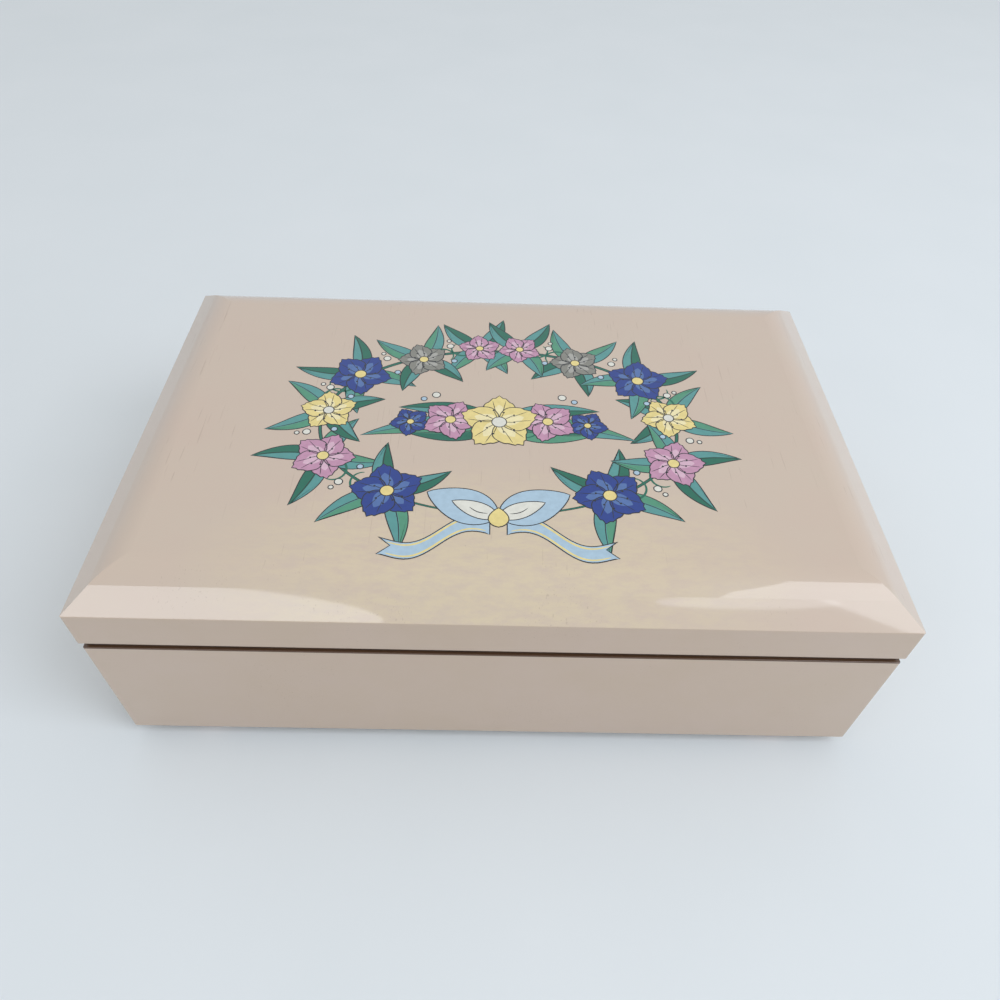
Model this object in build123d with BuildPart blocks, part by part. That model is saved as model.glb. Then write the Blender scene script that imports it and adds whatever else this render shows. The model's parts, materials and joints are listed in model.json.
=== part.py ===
"""A lacquered musical jewelry box, built from its separate pieces. Sizes in millimetres.

The box stands on the plane Z = 0 with its front at -Y, its length along X and its hinge at +Y.
Inside are velvet-lined compartments, ring rolls and an 18-tooth musical movement that is wound
by a key in a well under the base. The lid carries a mirror and stops the tune by a plunger.
"""

import os
from math import cos, pi, radians, sin, tan

from build123d import *

os.makedirs("parts", exist_ok=True)

# Driving dimensions of the box
lid_length = 200.0
lid_depth = 130.0
lid_side_height = 11.3
lid_rail_height = 8.8
lid_overhang = 0.3
shoulder_slope = 36.0
shoulder_straight = 6.0
shoulder_round = 8.0
base_wall_height = 40.5
wall_thickness = 7.0
corner_round = 0.6
edge_round = 0.35
groove_height = 2.2
groove_depth = 0.8
foot_height = 4.0
foot_diameter = 12.0
foot_edge_round = 1.4
foot_inset_x = 20.7
foot_inset_y = 7.5
foot_peg_diameter = 4.0
panel_thickness = 3.0
panel_rebate = 3.5

# Driving dimensions of the lining, dividers and ring rolls
lining_thickness = 1.2
lining_drop = 0.5
floor_pad_thickness = 1.0
divider_thickness = 3.0
divider_height = 33.0
divider_round = 1.35
compartment_length = 60.0
ring_bay_length = 60.0
ring_riser_height = 12.0
ring_roll_count = 4
ring_roll_height = 11.0
roll_end = 2.6
mirror_length = 126.0
mirror_depth = 82.0
mirror_thickness = 2.5
mirror_backing = 1.0
surround_lip = 0.8
surround_overlap = 3.0

# Driving dimensions of the hinges
hinge_length = 25.0
hinge_inset = 40.0
hinge_leaf_width = 4.8
hinge_leaf_thickness = 0.8
hinge_knuckle_diameter = 2.0
hinge_pin_diameter = 1.0
hinge_screw_diameter = 1.3
hinge_screw_length = 7.0
hinge_screw_spacing = 15.0
hinge_screw_reach = 2.8

# Driving dimensions of the musical movement
well_diameter = 38.0
well_block_height = 8.5
platform_thickness = 3.0
platform_hole_gap = 1.2
bed_length = 55.5
bed_depth = 42.5
bed_thickness = 2.2
bed_corner = 3.0
arbor_from_left = 16.0
arbor_from_back = 18.0
arbor_diameter = 3.6
crown_teeth = 44
crown_disc_thickness = 1.2
crown_face_width = 2.0
crown_tooth_modules = 2.0
crown_tooth_share = 0.46
crown_tooth_taper = 14
crown_clear_modules = 1.3
crown_hub_wall = 1.6
drive_module = 0.5
drive_pinion_teeth = 10
drum_radius = 5.6
drum_length = 17.6
drum_height = 7.6
pin_length = 0.6
pin_width = 0.34
pin_root = 0.3
tune_steps = 24
track_margin = 0.25
comb_teeth = 18
comb_tooth_gap = 0.26
comb_thickness = 0.9
comb_base_depth = 5.0
bass_tooth_length = 12.5
treble_tooth_length = 8.0
longest_weight = 3.2
weight_step = 0.35
weight_from_tip = 0.8
weight_drop = 1.3
comb_pad_margin = 0.5
train_module = 0.3
root_modules = 1.25
tooth_sink_modules = 0.2
tooth_root_share = 0.34
tooth_tip_share = 0.11
drum_gear_teeth = 44
fan_pinion_teeth = 11
worm_wheel_teeth = 20
worm_starts = 2
worm_turns = 3.0
worm_pitch_radius = 1.2
thread_sink = 0.12
thread_root_share = 0.31
thread_tip_share = 0.1
fan_radius = 3.8
fan_height = 3.6
fan_gap = 1.2
fan_hub_wall = 0.5
fan_blade_thickness = 0.45
post_thickness = 1.5
post_gap = 0.5
right_post_gap = 0.8
gear_gap = 0.4
worm_wheel_gap = 1.0
shoulder_gap = 0.2
spring_housing_radius = 9.4
spring_housing_height = 11.4
housing_gap = 0.6
leg_plate_thickness = 1.4
spring_core_wall = 0.5
spring_thickness = 0.35
spring_turns = 6
key_span = 24.0
key_wing_height = 8.0
key_thickness = 2.0
key_hole_radius = 2.0
key_edge_chamfer = 0.4
key_recess = 0.8
key_boss_diameter = 7.0
key_boss_chamfer = 0.5
key_boss_gap = 0.6
key_boss_overlap = 1.5
arbor_stub = 0.6
cover_wall = 1.2
cover_gap = 1.0
cover_corner = 3.0
cover_edge_round = 1.0
plunger_diameter = 1.2
plunger_travel = 1.5
flag_height = 0.8
flag_bite = 0.7

# Clearances
fit = 0.1
bearing = 0.05
pivot_gap = 0.04
seat = 0.3

# Places that follow from the driving dimensions
base_length = lid_length - 2 * lid_overhang
base_depth = lid_depth - 2 * lid_overhang
base_bottom = foot_height
base_top = base_bottom + base_wall_height
lid_bottom = base_top + groove_height
panel_top = base_bottom + panel_thickness
board_bottom = lid_bottom + lid_rail_height
lid_edge = lid_bottom + lid_side_height
inner_x = base_length / 2 - wall_thickness - lining_thickness
inner_y = base_depth / 2 - wall_thickness - lining_thickness
cover_length = bed_length + 2 * (cover_gap + cover_wall)
cover_depth = bed_depth + 2 * (cover_gap + cover_wall)
bay_length = cover_length + 2 * fit
bay_depth = cover_depth + 2 * fit
bay_x = inner_x - bay_length / 2
bay_y = inner_y - bay_depth / 2
platform_top = panel_top + well_block_height + platform_thickness
bed_top = platform_top + bed_thickness
arbor_x = bay_x - bed_length / 2 + arbor_from_left
arbor_y = bay_y + bed_depth / 2 - arbor_from_back
hinge_y = lid_depth / 2 - hinge_knuckle_diameter / 2
hinge_z = base_top + groove_height / 2
hinge_places = [-(lid_length / 2 - hinge_inset), lid_length / 2 - hinge_inset]


def keep(piece, name):
    """Label a finished piece and write it under its name."""
    piece.part.label = name
    export_step(piece.part, f"parts/{name}.step")


def wall_ring(length, depth, bottom, height, rounded_rims):
    """Four walls in one ring, with its outer corners and the outer edge of some rims rounded."""
    with BuildPart() as ring:
        with BuildSketch(Plane.XY.offset(bottom)):
            RectangleRounded(length, depth, corner_round)
            Rectangle(length - 2 * wall_thickness, depth - 2 * wall_thickness, mode=Mode.SUBTRACT)
        extrude(amount=height)
        for rim in rounded_rims:
            fillet(ring.faces().sort_by(Axis.Z)[rim].outer_wire().edges(), edge_round)
    return ring


def mitred_side(ring, length, depth, bottom, height, side):
    """The wall on one side of a ring, cut at 45 degrees at both ends."""
    turn, half_span, half_reach = {
        "front": ((1, 0, 0), length / 2, depth / 2),
        "right": ((0, 1, 0), depth / 2, length / 2),
        "back": ((-1, 0, 0), length / 2, depth / 2),
        "left": ((0, -1, 0), depth / 2, length / 2),
    }[side]
    inner = wall_thickness + fit
    with BuildPart() as wall:
        add(ring.part)
        with BuildSketch(Plane(origin=(0, 0, bottom), x_dir=turn, z_dir=(0, 0, 1))):
            Polygon(
                (-half_span - fit, -half_reach - fit),
                (half_span + fit, -half_reach - fit),
                (half_span - inner, -half_reach + inner),
                (-half_span + inner, -half_reach + inner),
                align=None,
            )
        extrude(amount=height, mode=Mode.INTERSECT)
    return wall


def hinge_screw_places():
    """Centres of all hinge screws, at their distance in from the hinge axis."""
    return [
        (x + step, hinge_y - hinge_screw_reach)
        for x in hinge_places
        for step in (-hinge_screw_spacing / 2, hinge_screw_spacing / 2)
    ]


# Base walls
foot_places = [
    (x * (base_length / 2 - foot_inset_x), y * (base_depth / 2 - foot_inset_y))
    for y in (-1, 1)
    for x in (-1, 1)
]

with BuildPart() as base_ring:
    add(wall_ring(base_length, base_depth, base_bottom, base_wall_height, (0, -1)).part)
    with BuildSketch(Plane.XY.offset(base_bottom)):
        Rectangle(
            base_length - 2 * (wall_thickness - panel_rebate),
            base_depth - 2 * (wall_thickness - panel_rebate),
        )
    extrude(amount=panel_thickness, mode=Mode.SUBTRACT)
    with BuildSketch(Plane.XY.offset(base_top)):
        with Locations(*hinge_screw_places()):
            Circle(hinge_screw_diameter / 2)
    extrude(amount=-hinge_screw_length, mode=Mode.SUBTRACT)

for side in ("front", "back", "left", "right"):
    wall = mitred_side(base_ring, base_length, base_depth, base_bottom, base_wall_height, side)
    keep(wall, f"base_{side}_wall")

# Bottom panel with the key well and the holes for the foot pegs
with BuildPart() as bottom_panel:
    with BuildSketch(Plane.XY.offset(base_bottom)):
        Rectangle(
            base_length - 2 * (wall_thickness - panel_rebate + fit),
            base_depth - 2 * (wall_thickness - panel_rebate + fit),
        )
        with Locations((arbor_x, arbor_y)):
            Circle(well_diameter / 2, mode=Mode.SUBTRACT)
        with Locations(*foot_places):
            Circle((foot_peg_diameter + fit) / 2, mode=Mode.SUBTRACT)
    extrude(amount=panel_thickness)
keep(bottom_panel, "bottom_panel")

# Turned feet with pegs
foot_names = ("front_left_foot", "front_right_foot", "rear_left_foot", "rear_right_foot")
for name, place in zip(foot_names, foot_places):
    with BuildPart() as foot:
        with BuildSketch():
            with Locations(place):
                Circle(foot_diameter / 2)
        extrude(amount=foot_height)
        fillet(foot.edges().sort_by(Axis.Z)[0], foot_edge_round)
        with BuildSketch(Plane.XY.offset(foot_height)):
            with Locations(place):
                Circle(foot_peg_diameter / 2)
        extrude(amount=panel_thickness)
    keep(foot, name)

# Dark lip in the shadow groove, which the lid rests on, notched for the hinges
notch_front = hinge_y - hinge_leaf_width - 2 * fit
with BuildPart() as rim_frame:
    with BuildSketch(Plane.XY.offset(base_top)):
        RectangleRounded(
            base_length - 2 * groove_depth, base_depth - 2 * groove_depth, corner_round
        )
        Rectangle(
            base_length - 2 * wall_thickness, base_depth - 2 * wall_thickness, mode=Mode.SUBTRACT
        )
    extrude(amount=groove_height)
    with BuildSketch(Plane.XY.offset(base_top)):
        with Locations(*[(x, (notch_front + base_depth / 2) / 2) for x in hinge_places]):
            Rectangle(hinge_length + 4 * fit, base_depth / 2 - notch_front)
    extrude(amount=groove_height, mode=Mode.SUBTRACT)
keep(rim_frame, "rim_frame")

# Velvet-covered card on the four walls
lining_height = base_wall_height - panel_thickness - lining_drop
with BuildPart() as wall_lining:
    with BuildSketch(Plane.XY.offset(panel_top)):
        with Locations(*[(0, y * (inner_y + lining_thickness / 2)) for y in (-1, 1)]):
            Rectangle(2 * (inner_x + lining_thickness), lining_thickness)
        with Locations(*[(x * (inner_x + lining_thickness / 2), 0) for x in (-1, 1)]):
            Rectangle(lining_thickness, 2 * inner_y - 2 * fit)
    extrude(amount=lining_height)
keep(wall_lining, "wall_lining")

# Velvet-covered dividers with rounded tops
long_divider_y = inner_y - bay_depth - divider_thickness / 2
front_bay_depth = long_divider_y - divider_thickness / 2 + inner_y
front_bay_y = -inner_y + front_bay_depth / 2
ring_divider_x = -inner_x + ring_bay_length + divider_thickness / 2
movement_divider_x = inner_x - bay_length - divider_thickness / 2


def divider(x, y, length, depth):
    """A padded partition standing on the bottom panel, rounded over along its top."""
    with BuildPart() as partition:
        with BuildSketch(Plane.XY.offset(panel_top)):
            with Locations((x, y)):
                Rectangle(length, depth)
        extrude(amount=divider_height)
        ways = Axis.X if length > depth else Axis.Y
        top = partition.faces().sort_by(Axis.Z)[-1].edges().filter_by(ways)
        fillet(top, divider_round)
    return partition


keep(divider(0, long_divider_y, 2 * inner_x - 2 * fit, divider_thickness), "long_divider")
for name, x in (("front_left_divider", -1), ("front_right_divider", 1)):
    x_place = x * (compartment_length + divider_thickness) / 2
    keep(divider(x_place, front_bay_y, divider_thickness, front_bay_depth - 2 * fit), name)
for name, x in (("ring_divider", ring_divider_x), ("movement_divider", movement_divider_x)):
    keep(divider(x, bay_y, divider_thickness, bay_depth - 2 * fit), name)

# Velvet-covered floor pads, one in each open compartment
side_bay_length = inner_x - compartment_length / 2 - divider_thickness
side_bay_x = inner_x - side_bay_length / 2
middle_bay_length = movement_divider_x - ring_divider_x - divider_thickness
middle_bay_x = (movement_divider_x + ring_divider_x) / 2
with BuildPart() as floor_pads:
    with BuildSketch(Plane.XY.offset(panel_top)):
        with Locations((-side_bay_x, front_bay_y), (side_bay_x, front_bay_y)):
            Rectangle(side_bay_length - 2 * fit, front_bay_depth - 2 * fit)
        with Locations((0, front_bay_y)):
            Rectangle(compartment_length - 2 * fit, front_bay_depth - 2 * fit)
        with Locations((middle_bay_x, bay_y)):
            Rectangle(middle_bay_length - 2 * fit, bay_depth - 2 * fit)
    extrude(amount=floor_pad_thickness)
keep(floor_pads, "floor_pads")

# Ring rolls on their riser
ring_bay_x = -inner_x + ring_bay_length / 2
with BuildPart() as ring_riser:
    with BuildSketch(Plane.XY.offset(panel_top)):
        with Locations((ring_bay_x, bay_y)):
            Rectangle(ring_bay_length - 2 * fit, bay_depth - 2 * fit)
    extrude(amount=ring_riser_height)
keep(ring_riser, "ring_riser")

roll_spacing = bay_depth / ring_roll_count
roll_radius = (roll_spacing - seat) / 2
roll_half = ring_bay_length / 2 - seat
roll_bottom = panel_top + ring_riser_height
roll_axis_z = roll_bottom + ring_roll_height - roll_radius
for number in range(ring_roll_count):
    roll_y = bay_y + (number - (ring_roll_count - 1) / 2) * roll_spacing
    roll_plane = Plane(origin=(ring_bay_x, roll_y, roll_axis_z), x_dir=(1, 0, 0), z_dir=(0, -1, 0))
    with BuildPart() as ring_roll:
        with BuildSketch(roll_plane):
            with BuildLine():
                crown = Line((roll_end - roll_half, roll_radius), (roll_half - roll_end, roll_radius))
                right_end = TangentArc(crown @ 1, (roll_half, roll_radius - roll_end), tangent=(1, 0))
                left_end = TangentArc(crown @ 0, (-roll_half, roll_radius - roll_end), tangent=(-1, 0))
                Polyline(right_end @ 1, (roll_half, 0), (-roll_half, 0), left_end @ 1)
            make_face()
        revolve(axis=Axis(roll_plane.origin, (1, 0, 0)))
        with BuildSketch(Plane.XY.offset(roll_bottom)):
            with Locations((ring_bay_x, roll_y)):
                Rectangle(ring_bay_length, roll_spacing)
        extrude(amount=ring_roll_height + roll_radius, mode=Mode.INTERSECT)
    keep(ring_roll, f"ring_roll_{number + 1}")

# Well block around the key, and the sounding platform that carries the movement
with BuildPart() as key_well_block:
    with BuildSketch(Plane.XY.offset(panel_top)):
        with Locations((bay_x, bay_y)):
            Rectangle(bay_length - 2 * fit, bay_depth - 2 * fit)
        with Locations((arbor_x, arbor_y)):
            Circle(well_diameter / 2, mode=Mode.SUBTRACT)
    extrude(amount=well_block_height)
keep(key_well_block, "key_well_block")

leg_count = 3
leg_start = 105
leg_spread = 150
leg_reach = 13.9
movement_screw_diameter = 1.8
movement_screw_head_radius = 1.75
movement_screw_gap = 0.4


def leg_pattern(reach):
    """The three legs of the spring housing, fanned round the side away from the cylinder."""
    return PolarLocations(reach, leg_count, leg_start, leg_spread, endpoint=True)


with BuildPart() as movement_platform:
    with BuildSketch(Plane.XY.offset(platform_top - platform_thickness)):
        with Locations((bay_x, bay_y)):
            Rectangle(bay_length - 2 * fit, bay_depth - 2 * fit)
        with Locations((arbor_x, arbor_y)):
            Circle(arbor_diameter / 2 + platform_hole_gap, mode=Mode.SUBTRACT)
            with leg_pattern(leg_reach):
                Circle(movement_screw_diameter / 2, mode=Mode.SUBTRACT)
    extrude(amount=platform_thickness)
keep(movement_platform, "movement_platform")


def level(x=0.0, y=0.0, z=0.0):
    """Level plane at a place counted from the winding arbor on top of the bed."""
    return Plane(origin=(arbor_x + x, arbor_y + y, bed_top + z))


def across(x=0.0, y=0.0, z=0.0):
    """Upright plane facing +X at a place counted from the winding arbor on top of the bed."""
    return Plane(origin=(arbor_x + x, arbor_y + y, bed_top + z), x_dir=(0, 1, 0), z_dir=(1, 0, 0))


def toothed_wheel(plane, teeth, module, width, first_tooth, bore):
    """A spur wheel with straight-sided teeth and some backlash, extruded from its plane."""
    pitch = pi * module
    root = module * (teeth / 2 - root_modules)
    tip = module * (teeth / 2 + 1)
    sink = module * tooth_sink_modules
    with BuildPart() as wheel:
        with BuildSketch(plane):
            Circle(root)
            with PolarLocations(root - sink, teeth, start_angle=first_tooth):
                Polygon(
                    (0, -pitch * tooth_root_share),
                    (tip - root + sink, -pitch * tooth_tip_share),
                    (tip - root + sink, pitch * tooth_tip_share),
                    (0, pitch * tooth_root_share),
                    align=None,
                )
            Circle(bore, mode=Mode.SUBTRACT)
        extrude(amount=width)
    return wheel


# Places along the cylinder's arbor, from the winding arbor towards the governor
crown_pitch_radius = drive_module * crown_teeth / 2
crown_radius = crown_pitch_radius + crown_face_width / 2
crown_top = drum_height - drive_module * (drive_pinion_teeth / 2 + crown_clear_modules)
pinion_start = crown_pitch_radius - crown_face_width / 2 - fit
pinion_end = pinion_start + crown_face_width
left_post = pinion_end + post_gap
drum_start = left_post + post_thickness + post_gap
drum_end = drum_start + drum_length
gear_width = 1.2
drum_gear_start = drum_end + gear_gap
worm_wheel_start = drum_gear_start + gear_width + worm_wheel_gap
right_post = worm_wheel_start + gear_width + right_post_gap
drum_arbor_radius = 1.0
journal_radius = 0.8
drum_gear_pitch_radius = train_module * drum_gear_teeth / 2
fan_pinion_pitch_radius = train_module * fan_pinion_teeth / 2
governor_y = drum_gear_pitch_radius + fan_pinion_pitch_radius
governor_journal = 0.45
worm_x = worm_wheel_start + gear_width / 2
worm_y = governor_y + train_module * worm_wheel_teeth / 2 + worm_pitch_radius
worm_lead = pi * train_module * worm_starts
worm_length = worm_lead * worm_turns
fan_bottom = drum_height + worm_length / 2 + fan_gap
fan_top = fan_bottom + fan_height
flag_bottom = fan_top - flag_bite
bridge_bottom = flag_bottom + flag_height + plunger_travel + seat
bridge_thickness = 1.2

# Cylinder with its pins, arbor, gear and drive pinion
track_pitch = (drum_length - 2 * track_margin) / comb_teeth
comb_start = drum_start + track_margin + track_pitch / 2
with BuildPart() as pinned_cylinder:
    with BuildSketch(across(drum_start, z=drum_height)):
        Circle(drum_radius)
        Circle(drum_arbor_radius, mode=Mode.SUBTRACT)
    extrude(amount=drum_length)
    for track in range(comb_teeth):
        first_step = (track * 7) % tune_steps
        steps = [first_step, (first_step + 9 + track % 4) % tune_steps]
        if track % 3 == 0:
            steps.append((first_step + 17) % tune_steps)
        for step in steps:
            angle = radians((step + 0.5) * 360 / tune_steps)
            pin_plane = Plane(
                origin=(
                    arbor_x + comb_start + track * track_pitch,
                    arbor_y + (drum_radius - pin_root) * cos(angle),
                    bed_top + drum_height + (drum_radius - pin_root) * sin(angle),
                ),
                x_dir=(1, 0, 0),
                z_dir=(0, cos(angle), sin(angle)),
            )
            with BuildSketch(pin_plane):
                Rectangle(pin_width, pin_width)
    extrude(amount=pin_root + pin_length)
keep(pinned_cylinder, "pinned_cylinder")

with BuildPart() as cylinder_arbor:
    with BuildSketch(across(pinion_start, z=drum_height)):
        Circle(journal_radius)
    extrude(amount=right_post + post_thickness - pinion_start)
    with BuildSketch(across(left_post + post_thickness + shoulder_gap, z=drum_height)):
        Circle(drum_arbor_radius)
    extrude(amount=right_post - left_post - post_thickness - 2 * shoulder_gap)
keep(cylinder_arbor, "cylinder_arbor")

cylinder_gear = toothed_wheel(
    across(drum_gear_start, z=drum_height),
    drum_gear_teeth, train_module, gear_width, 0, drum_arbor_radius,
)
keep(cylinder_gear, "cylinder_gear")

drive_pinion = toothed_wheel(
    across(pinion_start, z=drum_height),
    drive_pinion_teeth, drive_module, pinion_end - pinion_start, -90, journal_radius,
)
keep(drive_pinion, "drive_pinion")

# Great wheel with crown teeth, on the winding arbor
crown_disc_bottom = crown_top - crown_disc_thickness
crown_tooth_height = drive_module * crown_tooth_modules
with BuildPart() as great_wheel:
    with BuildSketch(level(z=crown_disc_bottom)):
        Circle(crown_radius)
        Circle(arbor_diameter / 2, mode=Mode.SUBTRACT)
    extrude(amount=crown_disc_thickness)
    with BuildSketch(level(z=seat)):
        Circle(arbor_diameter / 2 + crown_hub_wall)
        Circle(arbor_diameter / 2, mode=Mode.SUBTRACT)
    extrude(amount=crown_disc_bottom - seat)
    with BuildSketch(level(z=crown_top)):
        with PolarLocations(crown_pitch_radius, crown_teeth, start_angle=180 / crown_teeth):
            Rectangle(crown_face_width, pi * drive_module * crown_tooth_share)
    extrude(amount=crown_tooth_height, taper=crown_tooth_taper)
keep(great_wheel, "great_wheel")

# Spring housing on its three legs, and the mainspring inside it
housing_bottom = crown_top + crown_tooth_height + housing_gap
housing_top = housing_bottom + spring_housing_height
housing_wall = 0.8
leg_width = 4.0
leg_depth = 3.0
leg_bore = 3.0
with BuildPart() as spring_housing:
    with BuildSketch(level(z=housing_bottom)):
        Circle(spring_housing_radius)
    extrude(amount=spring_housing_height)
    fillet(spring_housing.edges().sort_by(Axis.Z)[-1], housing_wall)
    with BuildSketch(level(z=housing_bottom)):
        with leg_pattern(0):
            with Locations(((spring_housing_radius + leg_reach) / 2, 0)):
                Rectangle(leg_reach - spring_housing_radius + leg_depth, leg_width)
    extrude(amount=leg_plate_thickness)
    with BuildSketch(level()):
        with leg_pattern(leg_reach):
            Rectangle(leg_depth, leg_width)
    extrude(amount=housing_bottom + leg_plate_thickness)
    with BuildSketch(level(z=housing_bottom + housing_wall)):
        Circle(spring_housing_radius - housing_wall)
    extrude(amount=spring_housing_height - 2 * housing_wall, mode=Mode.SUBTRACT)
    with BuildSketch(level(z=housing_bottom)):
        Circle(arbor_diameter / 2 + bearing)
    extrude(amount=spring_housing_height, mode=Mode.SUBTRACT)
    with BuildSketch(level()):
        with leg_pattern(leg_reach):
            Circle(movement_screw_diameter / 2)
    extrude(amount=leg_bore, mode=Mode.SUBTRACT)
keep(spring_housing, "spring_housing")

spring_core = arbor_diameter / 2 + spring_core_wall
spring_room = spring_housing_radius - housing_wall - seat - spring_thickness - spring_core
spring_pitch = spring_room / spring_turns
spring_bottom = housing_bottom + housing_wall + seat
spring_height = spring_housing_height - 2 * (housing_wall + seat)
with BuildPart() as mainspring:
    with BuildSketch(level(z=spring_bottom)):
        with BuildLine():
            for half_turn in range(2 * spring_turns):
                odd = half_turn % 2
                radius = spring_core + fit + half_turn * (spring_pitch - fit / spring_turns) / 2
                centre = (odd * (spring_pitch - fit / spring_turns) / 2, 0)
                CenterArc(centre, radius, 180 * odd, 180)
                outer = CenterArc(centre, radius + spring_thickness, 180 * odd, 180)
            Line((centre[0] + radius, 0), outer @ 1)
            Line((spring_core + fit, 0), (spring_core + fit + spring_thickness, 0))
        make_face()
    extrude(amount=spring_height)
keep(mainspring, "mainspring")

# Winding arbor and the butterfly key in the well
key_bottom = base_bottom + key_recess
key_boss_top = platform_top - platform_thickness - key_boss_gap
arbor_start = key_bottom + key_wing_height / 2
with BuildPart() as winding_arbor:
    with BuildSketch(Plane(origin=(arbor_x, arbor_y, arbor_start))):
        Circle(arbor_diameter / 2)
    extrude(amount=bed_top + housing_top + arbor_stub - arbor_start)
    with BuildSketch(level(z=spring_bottom)):
        Circle(spring_core)
    extrude(amount=spring_height)
keep(winding_arbor, "winding_arbor")

key_lobe = key_wing_height / 2
with BuildPart() as winding_key:
    key_plane = Plane(
        origin=(arbor_x, arbor_y, key_bottom + key_lobe), x_dir=(1, 0, 0), z_dir=(0, -1, 0)
    )
    with BuildSketch(key_plane):
        SlotOverall(key_span, key_wing_height)
        with Locations((key_span / 2 - key_lobe, 0), (key_lobe - key_span / 2, 0)):
            Circle(key_hole_radius, mode=Mode.SUBTRACT)
    extrude(amount=key_thickness / 2, both=True)
    chamfer(winding_key.edges().filter_by(GeomType.CIRCLE), key_edge_chamfer)
    with BuildSketch(Plane(origin=(arbor_x, arbor_y, arbor_start - key_boss_overlap))):
        Circle(key_boss_diameter / 2)
    extrude(amount=key_boss_top - arbor_start + key_boss_overlap)
    chamfer(winding_key.faces().sort_by(Axis.Z)[-1].edges(), key_boss_chamfer)
    with BuildSketch(Plane(origin=(arbor_x, arbor_y, arbor_start))):
        Circle(arbor_diameter / 2)
    extrude(amount=key_boss_top - arbor_start, mode=Mode.SUBTRACT)
keep(winding_key, "winding_key")

# Bed with the comb's pad and the cylinder's left bearing post
comb_left = comb_start - track_pitch / 2
comb_right = comb_left + comb_teeth * track_pitch
comb_tip = -(drum_radius + pin_length + fit)
comb_back = comb_tip - bass_tooth_length - comb_base_depth
comb_base_thickness = 1.6
screw_radius = 0.8
screw_head_radius = 1.45
screw_head_height = 1.0
comb_screw_bite = 2.6
screw_head_chamfer = 0.4
screw_slot_width = 0.35
screw_slot_depth = 0.5
comb_screw_shares = (0.12, 0.5, 0.88)
comb_screw_places = [
    (comb_left + share * (comb_right - comb_left), comb_back + comb_base_depth / 2)
    for share in comb_screw_shares
]
frame_foot_thickness = 1.0
frame_screw_offsets = ((-3.0, 2.2), (1.6, 2.2))
frame_screw_places = [(worm_x + x, worm_y + y) for x, y in frame_screw_offsets]
post_radius = 3.0
with BuildPart() as bedplate:
    with BuildSketch(level(z=-bed_thickness)):
        with Locations((bed_length / 2 - arbor_from_left, arbor_from_back - bed_depth / 2)):
            RectangleRounded(bed_length, bed_depth, bed_corner)
        Circle(arbor_diameter / 2 + bearing, mode=Mode.SUBTRACT)
        with leg_pattern(leg_reach):
            Circle(movement_screw_diameter / 2, mode=Mode.SUBTRACT)
    extrude(amount=bed_thickness)
    with BuildSketch(level()):
        with Locations(((comb_left + comb_right) / 2, comb_back + comb_base_depth / 2)):
            Rectangle(comb_right - comb_left + 2 * comb_pad_margin, comb_base_depth)
    extrude(amount=drum_height - comb_base_thickness / 2)
    with BuildSketch(across(left_post)):
        with Locations((0, drum_height / 2)):
            Rectangle(2 * post_radius, drum_height)
        with Locations((0, drum_height)):
            Circle(post_radius)
            Circle(journal_radius + bearing, mode=Mode.SUBTRACT)
    extrude(amount=post_thickness)
    with BuildSketch(level(z=drum_height - comb_base_thickness / 2)):
        with Locations(*comb_screw_places):
            Circle(screw_radius)
    extrude(amount=-comb_screw_bite, mode=Mode.SUBTRACT)
    with BuildSketch(level()):
        with Locations(*frame_screw_places):
            Circle(screw_radius)
    extrude(amount=-bed_thickness, mode=Mode.SUBTRACT)
keep(bedplate, "bedplate")

# Comb: thick heel, graded teeth and weights under the bass teeth
with BuildPart() as comb:
    with BuildSketch(level(z=drum_height - comb_thickness / 2)):
        with BuildLine():
            Polyline(
                (comb_left, comb_tip),
                (comb_right, comb_tip),
                (comb_right, comb_back),
                (comb_left, comb_back),
                close=True,
            )
        make_face()
        for gap in range(1, comb_teeth):
            share = gap / comb_teeth
            reach = bass_tooth_length + share * (treble_tooth_length - bass_tooth_length)
            with Locations((comb_left + gap * track_pitch, comb_tip - reach / 2)):
                Rectangle(comb_tooth_gap, reach, mode=Mode.SUBTRACT)
    extrude(amount=comb_thickness)
    with BuildSketch(level(z=drum_height - comb_base_thickness / 2)):
        Polygon(
            (comb_left, comb_tip - bass_tooth_length - fit),
            (comb_right, comb_tip - treble_tooth_length - fit),
            (comb_right, comb_back),
            (comb_left, comb_back),
            align=None,
        )
    extrude(amount=comb_base_thickness)
    for tooth in range(comb_teeth // 3):
        weight_length = longest_weight - weight_step * tooth
        weight_y = comb_tip - weight_from_tip - weight_length / 2
        with BuildSketch(level(z=drum_height - comb_thickness / 2)):
            with Locations((comb_left + (tooth + 0.5) * track_pitch, weight_y)):
                Rectangle(track_pitch - comb_tooth_gap, weight_length)
    extrude(amount=-weight_drop)
    with BuildSketch(level(z=drum_height - comb_base_thickness / 2)):
        with Locations(*comb_screw_places):
            Circle(screw_radius)
    extrude(amount=comb_base_thickness, mode=Mode.SUBTRACT)
keep(comb, "comb")


def slotted_screw(place, top, reach):
    """A round-headed screw seated at a height and reaching down from it, with a driver slot."""
    x, y = place
    with BuildPart() as screw:
        with BuildSketch(level(x, y, top)):
            Circle(screw_head_radius)
        extrude(amount=screw_head_height)
        chamfer(screw.edges().sort_by(Axis.Z)[-1], screw_head_chamfer)
        with BuildSketch(level(x, y, top + screw_head_height)):
            Rectangle(3 * screw_head_radius, screw_slot_width)
        extrude(amount=-screw_slot_depth, mode=Mode.SUBTRACT)
        with BuildSketch(level(x, y, top)):
            Circle(screw_radius)
        extrude(amount=-reach)
    return screw


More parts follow.
